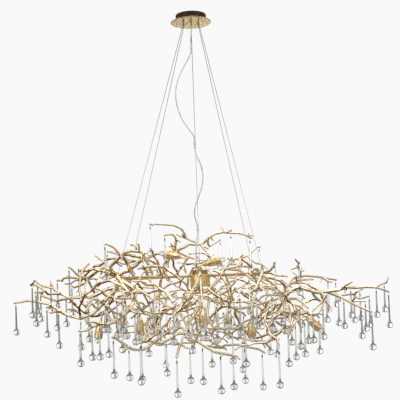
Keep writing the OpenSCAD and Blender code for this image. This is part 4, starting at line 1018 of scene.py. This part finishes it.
def make_sleeves(finish):
    """Bottle-shaped sleeves: a turned profile whose outside carries a bark-like relief, which is
    drawn out along the sleeve."""
    outer = evenly(SLEEVE_OUTSIDE, SLEEVE_RINGS)
    profile = np.vstack([outer, evenly(SLEEVE_INSIDE, 16), outer[:1]]) * MM
    ring = np.repeat(np.arange(len(profile)), SLEEVE_SIDES)
    outside = (ring > RELIEF_FROM) & (ring < RELIEF_TO)
    faces = ring_faces(len(profile), SLEEVE_SIDES)
    parts, reliefs = [], []
    for number, (neck, lean) in enumerate(LAMP_NECKS):
        start, axis = lamp_axis(neck, lean)
        flat = turned(profile, SLEEVE_SIDES, start, axis).reshape(-1, 3)
        away = unit(flat - start - ((flat - start) @ axis)[:, None] * axis)
        stretched = (flat - start) @ (np.eye(3) - 0.72 * np.outer(axis, axis))
        pattern = lumps(stretched, 3.6 * MM, 200 + number) + 0.6 * lumps(stretched, 1.9 * MM, 230 + number)
        parts.append((flat + away * (np.where(outside, 0.55 * pattern, 0) * MM)[:, None], faces, []))
        reliefs.append(np.where(outside, 0.5 + 0.42 * pattern, 0.35))
    piece = make_mesh("relief_sleeves", *joined(parts))
    set_value(piece, "relief", np.concatenate(reliefs))
    fitted(piece, finish, "fixture", "brass", "lamp_sleeves")


DENT_EDGE = 0.75
PLATE_PROFILE = [(0.05, -37), (93, -37), (98, -36.6), (100, -35.5), (99, -34.3), (97, -34.02),
                 (0.05, -34.02)]
CAN_TOP, CAN_LOW = -1280.0, -1338.0
CAN_PROFILE = [(5.3, CAN_LOW), (45, CAN_LOW), (47.5, CAN_LOW + 1.2), (49, CAN_LOW + 5), (49, CAN_TOP),
               (47.5, CAN_TOP), (47.5, CAN_LOW + 6), (44, CAN_LOW + 1.5), (5.3, CAN_LOW + 1.5)]


def dense(points, step):
    """A profile with points added so that none is further than step from the next."""
    p = np.array(points, float)
    out = []
    for start, end in zip(p, np.roll(p, -1, axis=0)):
        count = max(1, int(math.ceil(np.linalg.norm(end - start) / step)))
        t = np.linspace(0, 1, count, endpoint=False)[:, None]
        out.append(start + (end - start) * t)
    return np.vstack(out)


def make_beaten(node, profile, step, sides, size, depth, seed, finish):
    """A beaten turned piece: its profile turned about the hub axis, pushed in by round dents whose
    depth falls off with the distance to their middle."""
    profile = dense(profile, step) * MM
    flat = turned(profile, sides).reshape(-1, 3)
    quads = ring_faces(len(profile), sides, True)
    normal = normals_of(flat, quads)
    if (normal * (flat - flat.mean(0))).sum() < 0:
        quads, normal = quads[:, ::-1], -normal
    near = dents(flat, size * MM, seed)
    height = depth * (np.minimum(near, DENT_EDGE) / DENT_EDGE - DENT_EDGE)
    piece = make_mesh("hammered_" + node, flat + normal * (height * MM)[:, None], quads)
    set_value(piece, "relief", near / DENT_EDGE)
    fitted(piece, finish, "fixture", "brass", node)


# Stage and studio

STAGE_RADIUS, STAGE_Z = 4.4, -2.75
SURROUND = (0.945, 0.945, 0.950)
STAGE_DARK = (0.16, 0.15, 0.14)


def make_stage():
    """Pale floor under the object, faded out at its edge. The camera sees it near to the
    surround's white; mirrors and glass see it darker."""
    a = angles(96)
    points = np.stack([STAGE_RADIUS * np.cos(a), STAGE_RADIUS * np.sin(a), np.full(96, STAGE_Z)], 1)
    floor = make_mesh("floor", points, [], [np.arange(96)], smooth=False)
    f = Finish("floor_pale")
    lit = f.node("ShaderNodeBsdfDiffuse", None, {"Color": (0.90, 0.90, 0.90, 1)})
    pale = f.mixed(f.ray("Camera") * 0.55, lit, f.glow(SURROUND))
    pale = f.mixed(f.ray("Glossy") * 0.75 + f.ray("Transmission") * 0.50, pale, f.glow(STAGE_DARK))
    distance = f.node("ShaderNodeVectorMath", {"operation": "LENGTH"}, {0: f.place}, "Value")
    shader = f.mixed(f.limit(distance, 3.2, 4.35), pale, f.node("ShaderNodeBsdfTransparent"))
    f.node("ShaderNodeOutputMaterial", None, {"Surface": shader})
    floor.data.materials.append(f.owner)


def make_world():
    """White for the camera. Glass sees a bright band at the height of the view, darker below and
    above it; everything else sees a surround that grows lighter upwards."""
    world = bpy.data.worlds.new("studio")
    bpy.context.scene.world = world
    f = Finish("studio", world, "Generated")
    height = f.limit(f.along("Z"), -1.0, 1.0)

    def background(*stops):
        color = f.ramp(height, *[(where, (tone, tone, tone)) for where, tone in stops])
        return f.node("ShaderNodeBackground", None, {"Color": color})

    plain = background((0.0, 0.12), (0.40, 0.20), (0.52, 0.50), (0.66, 0.92), (1.0, 1.0))
    band = background((0.0, 0.30), (0.24, 0.22), (0.38, 0.94), (0.64, 0.94), (0.78, 0.08), (1.0, 1.0))
    white = f.node("ShaderNodeBackground", None, {"Color": (*SURROUND, 1)})
    light = f.mixed(f.ray("Camera"), f.mixed(f.ray("Transmission"), plain, band), white)
    f.node("ShaderNodeOutputWorld", None, {"Surface": light})


def studio_lamp(name, at, towards, size, watts):
    """Soft square lamp that points from one place to another."""
    data = bpy.data.lights.new(name, "AREA")
    data.shape = "SQUARE"
    data.size = size
    data.energy = watts
    light = bpy.data.objects.new(name, data)
    light.visible_camera = False
    forward = unit(np.array(towards, float) - np.array(at, float))
    light.location = at
    light.rotation_euler = (math.acos(-forward[2]), 0.0, math.atan2(forward[1], forward[0]) - math.pi / 2)
    bpy.context.scene.collection.objects.link(light)


def make_studio_lamps():
    """Four soft lamps, all turned to the middle of the object."""
    middle = (0, 0, -1.4)
    studio_lamp("key", (1.3, -3.3, 1.3), middle, 1.8, 40)
    studio_lamp("fill", (-2.8, -2.7, -0.2), middle, 1.8, 22)
    studio_lamp("top", (0.3, 0.6, 1.6), middle, 2.0, 19)
    studio_lamp("back", (0.6, 3.4, -0.6), middle, 2.0, 14)


def dress_solids(finishes):
    """Gives the carried-over solids their finishes."""
    for node, finish in finishes.items():
        slots = NODES[node].material_slots
        for slot in slots:
            slot.material = finish
        if not slots:
            NODES[node].data.materials.append(finish)


# The whole scene

make_camera()

cord_clear = clear_plastic()
make_cord(cord_clear)
dark_plastic = plain_finish("gland_plastic_dark", (0.05, 0.035, 0.025), (0.12, 0.085, 0.06), 0.45)
pale_brass = satin_metal("pale_brass", (0.66, 0.48, 0.26), (0.94, 0.80, 0.54), 0.45, metallic=0.4)
make_cord_relief("cord_relief_top", (0, -18 * MM, -44 * MM), -1, pale_brass)
make_cord_relief("cord_relief_hub", (-16 * MM, -18 * MM, -1248 * MM), 1, dark_plastic)

gilt = cast_brass()
for count, node in enumerate(n for n in sorted(NODES) if n.startswith(("bough", "sprig", "lamp_arms"))):
    make_branch(node, count, gilt)
make_twigs(gilt)

clear = drop_glass()
for node, length in DROP_LENGTHS.items():
    make_drops(node, length, "fixture", clear)
for node, length in END_DROP_LENGTHS.items():
    make_drops(node, length, node, clear)

make_sleeves(hammered_brass("relief_brass", (0.24, 0.12, 0.04), (0.78, 0.53, 0.24),
                            (0.98, 0.82, 0.52), 300.0))
make_beaten("canopy_plate", PLATE_PROFILE, 1.6, 240, 7.5, 1.1, 300,
            hammered_brass("beaten_plate_brass", (0.12, 0.052, 0.014), (0.46, 0.28, 0.095),
                           (0.80, 0.60, 0.28), 260.0))
make_beaten("hub_can", CAN_PROFILE, 1.5, 200, 8.5, 1.0, 340,
            hammered_brass("beaten_can_brass", (0.18, 0.08, 0.02), (0.80, 0.52, 0.20),
                           (0.98, 0.80, 0.44), 260.0))

antique = satin_metal("antique_brass", (0.24, 0.14, 0.07), (0.58, 0.41, 0.23), 0.34)
satin_brass = satin_metal("satin_brass", (0.45, 0.29, 0.13), (0.86, 0.68, 0.40), 0.26)
steel = satin_metal("steel_satin", (0.30, 0.30, 0.31), (0.55, 0.56, 0.57), 0.26)
wire_steel = rope_steel()
make_hooks(satin_metal("ring_steel", (0.52, 0.52, 0.52), (0.80, 0.80, 0.80), 0.35, metallic=0.4))
make_rope("suspension_wires", wire_steel)
make_rope("centre_wire", wire_steel)

zinc = satin_metal("zinc_steel", (0.45, 0.46, 0.47), (0.66, 0.67, 0.68), 0.34)
ceramic = plain_finish("ceramic_glazed", (0.82, 0.80, 0.76), (0.92, 0.91, 0.87), 0.25)
bars = bar_brass()
dark_screw = satin_metal("screw_dark", (0.04, 0.028, 0.02), (0.11, 0.08, 0.055), 0.45)
dress_solids({
    "ceiling_bracket": zinc, "canopy_drum": bronze_paint(), "canopy_screws": dark_screw,
    "terminal_block": ceramic, "cord_glands": pale_brass, "wire_grips": pale_brass,
    "cord_clips": cord_clear, "wire_anchors": satin_brass, "hub_lid": antique,
    "hub_knob": satin_brass, "hub_rod": steel, "hub_terminal": ceramic, "beam_left": bars,
    "beam_right": bars, "spoke_front": bars, "spoke_back": bars, "cross_bar_left": bars,
    "cross_bar_right": bars, "frame_braces": bars, "lampholders": ceramic, "bulbs": bulb_glass()})

make_stage()
make_world()
make_studio_lamps()
bpy.context.scene.view_settings.view_transform = "Standard"
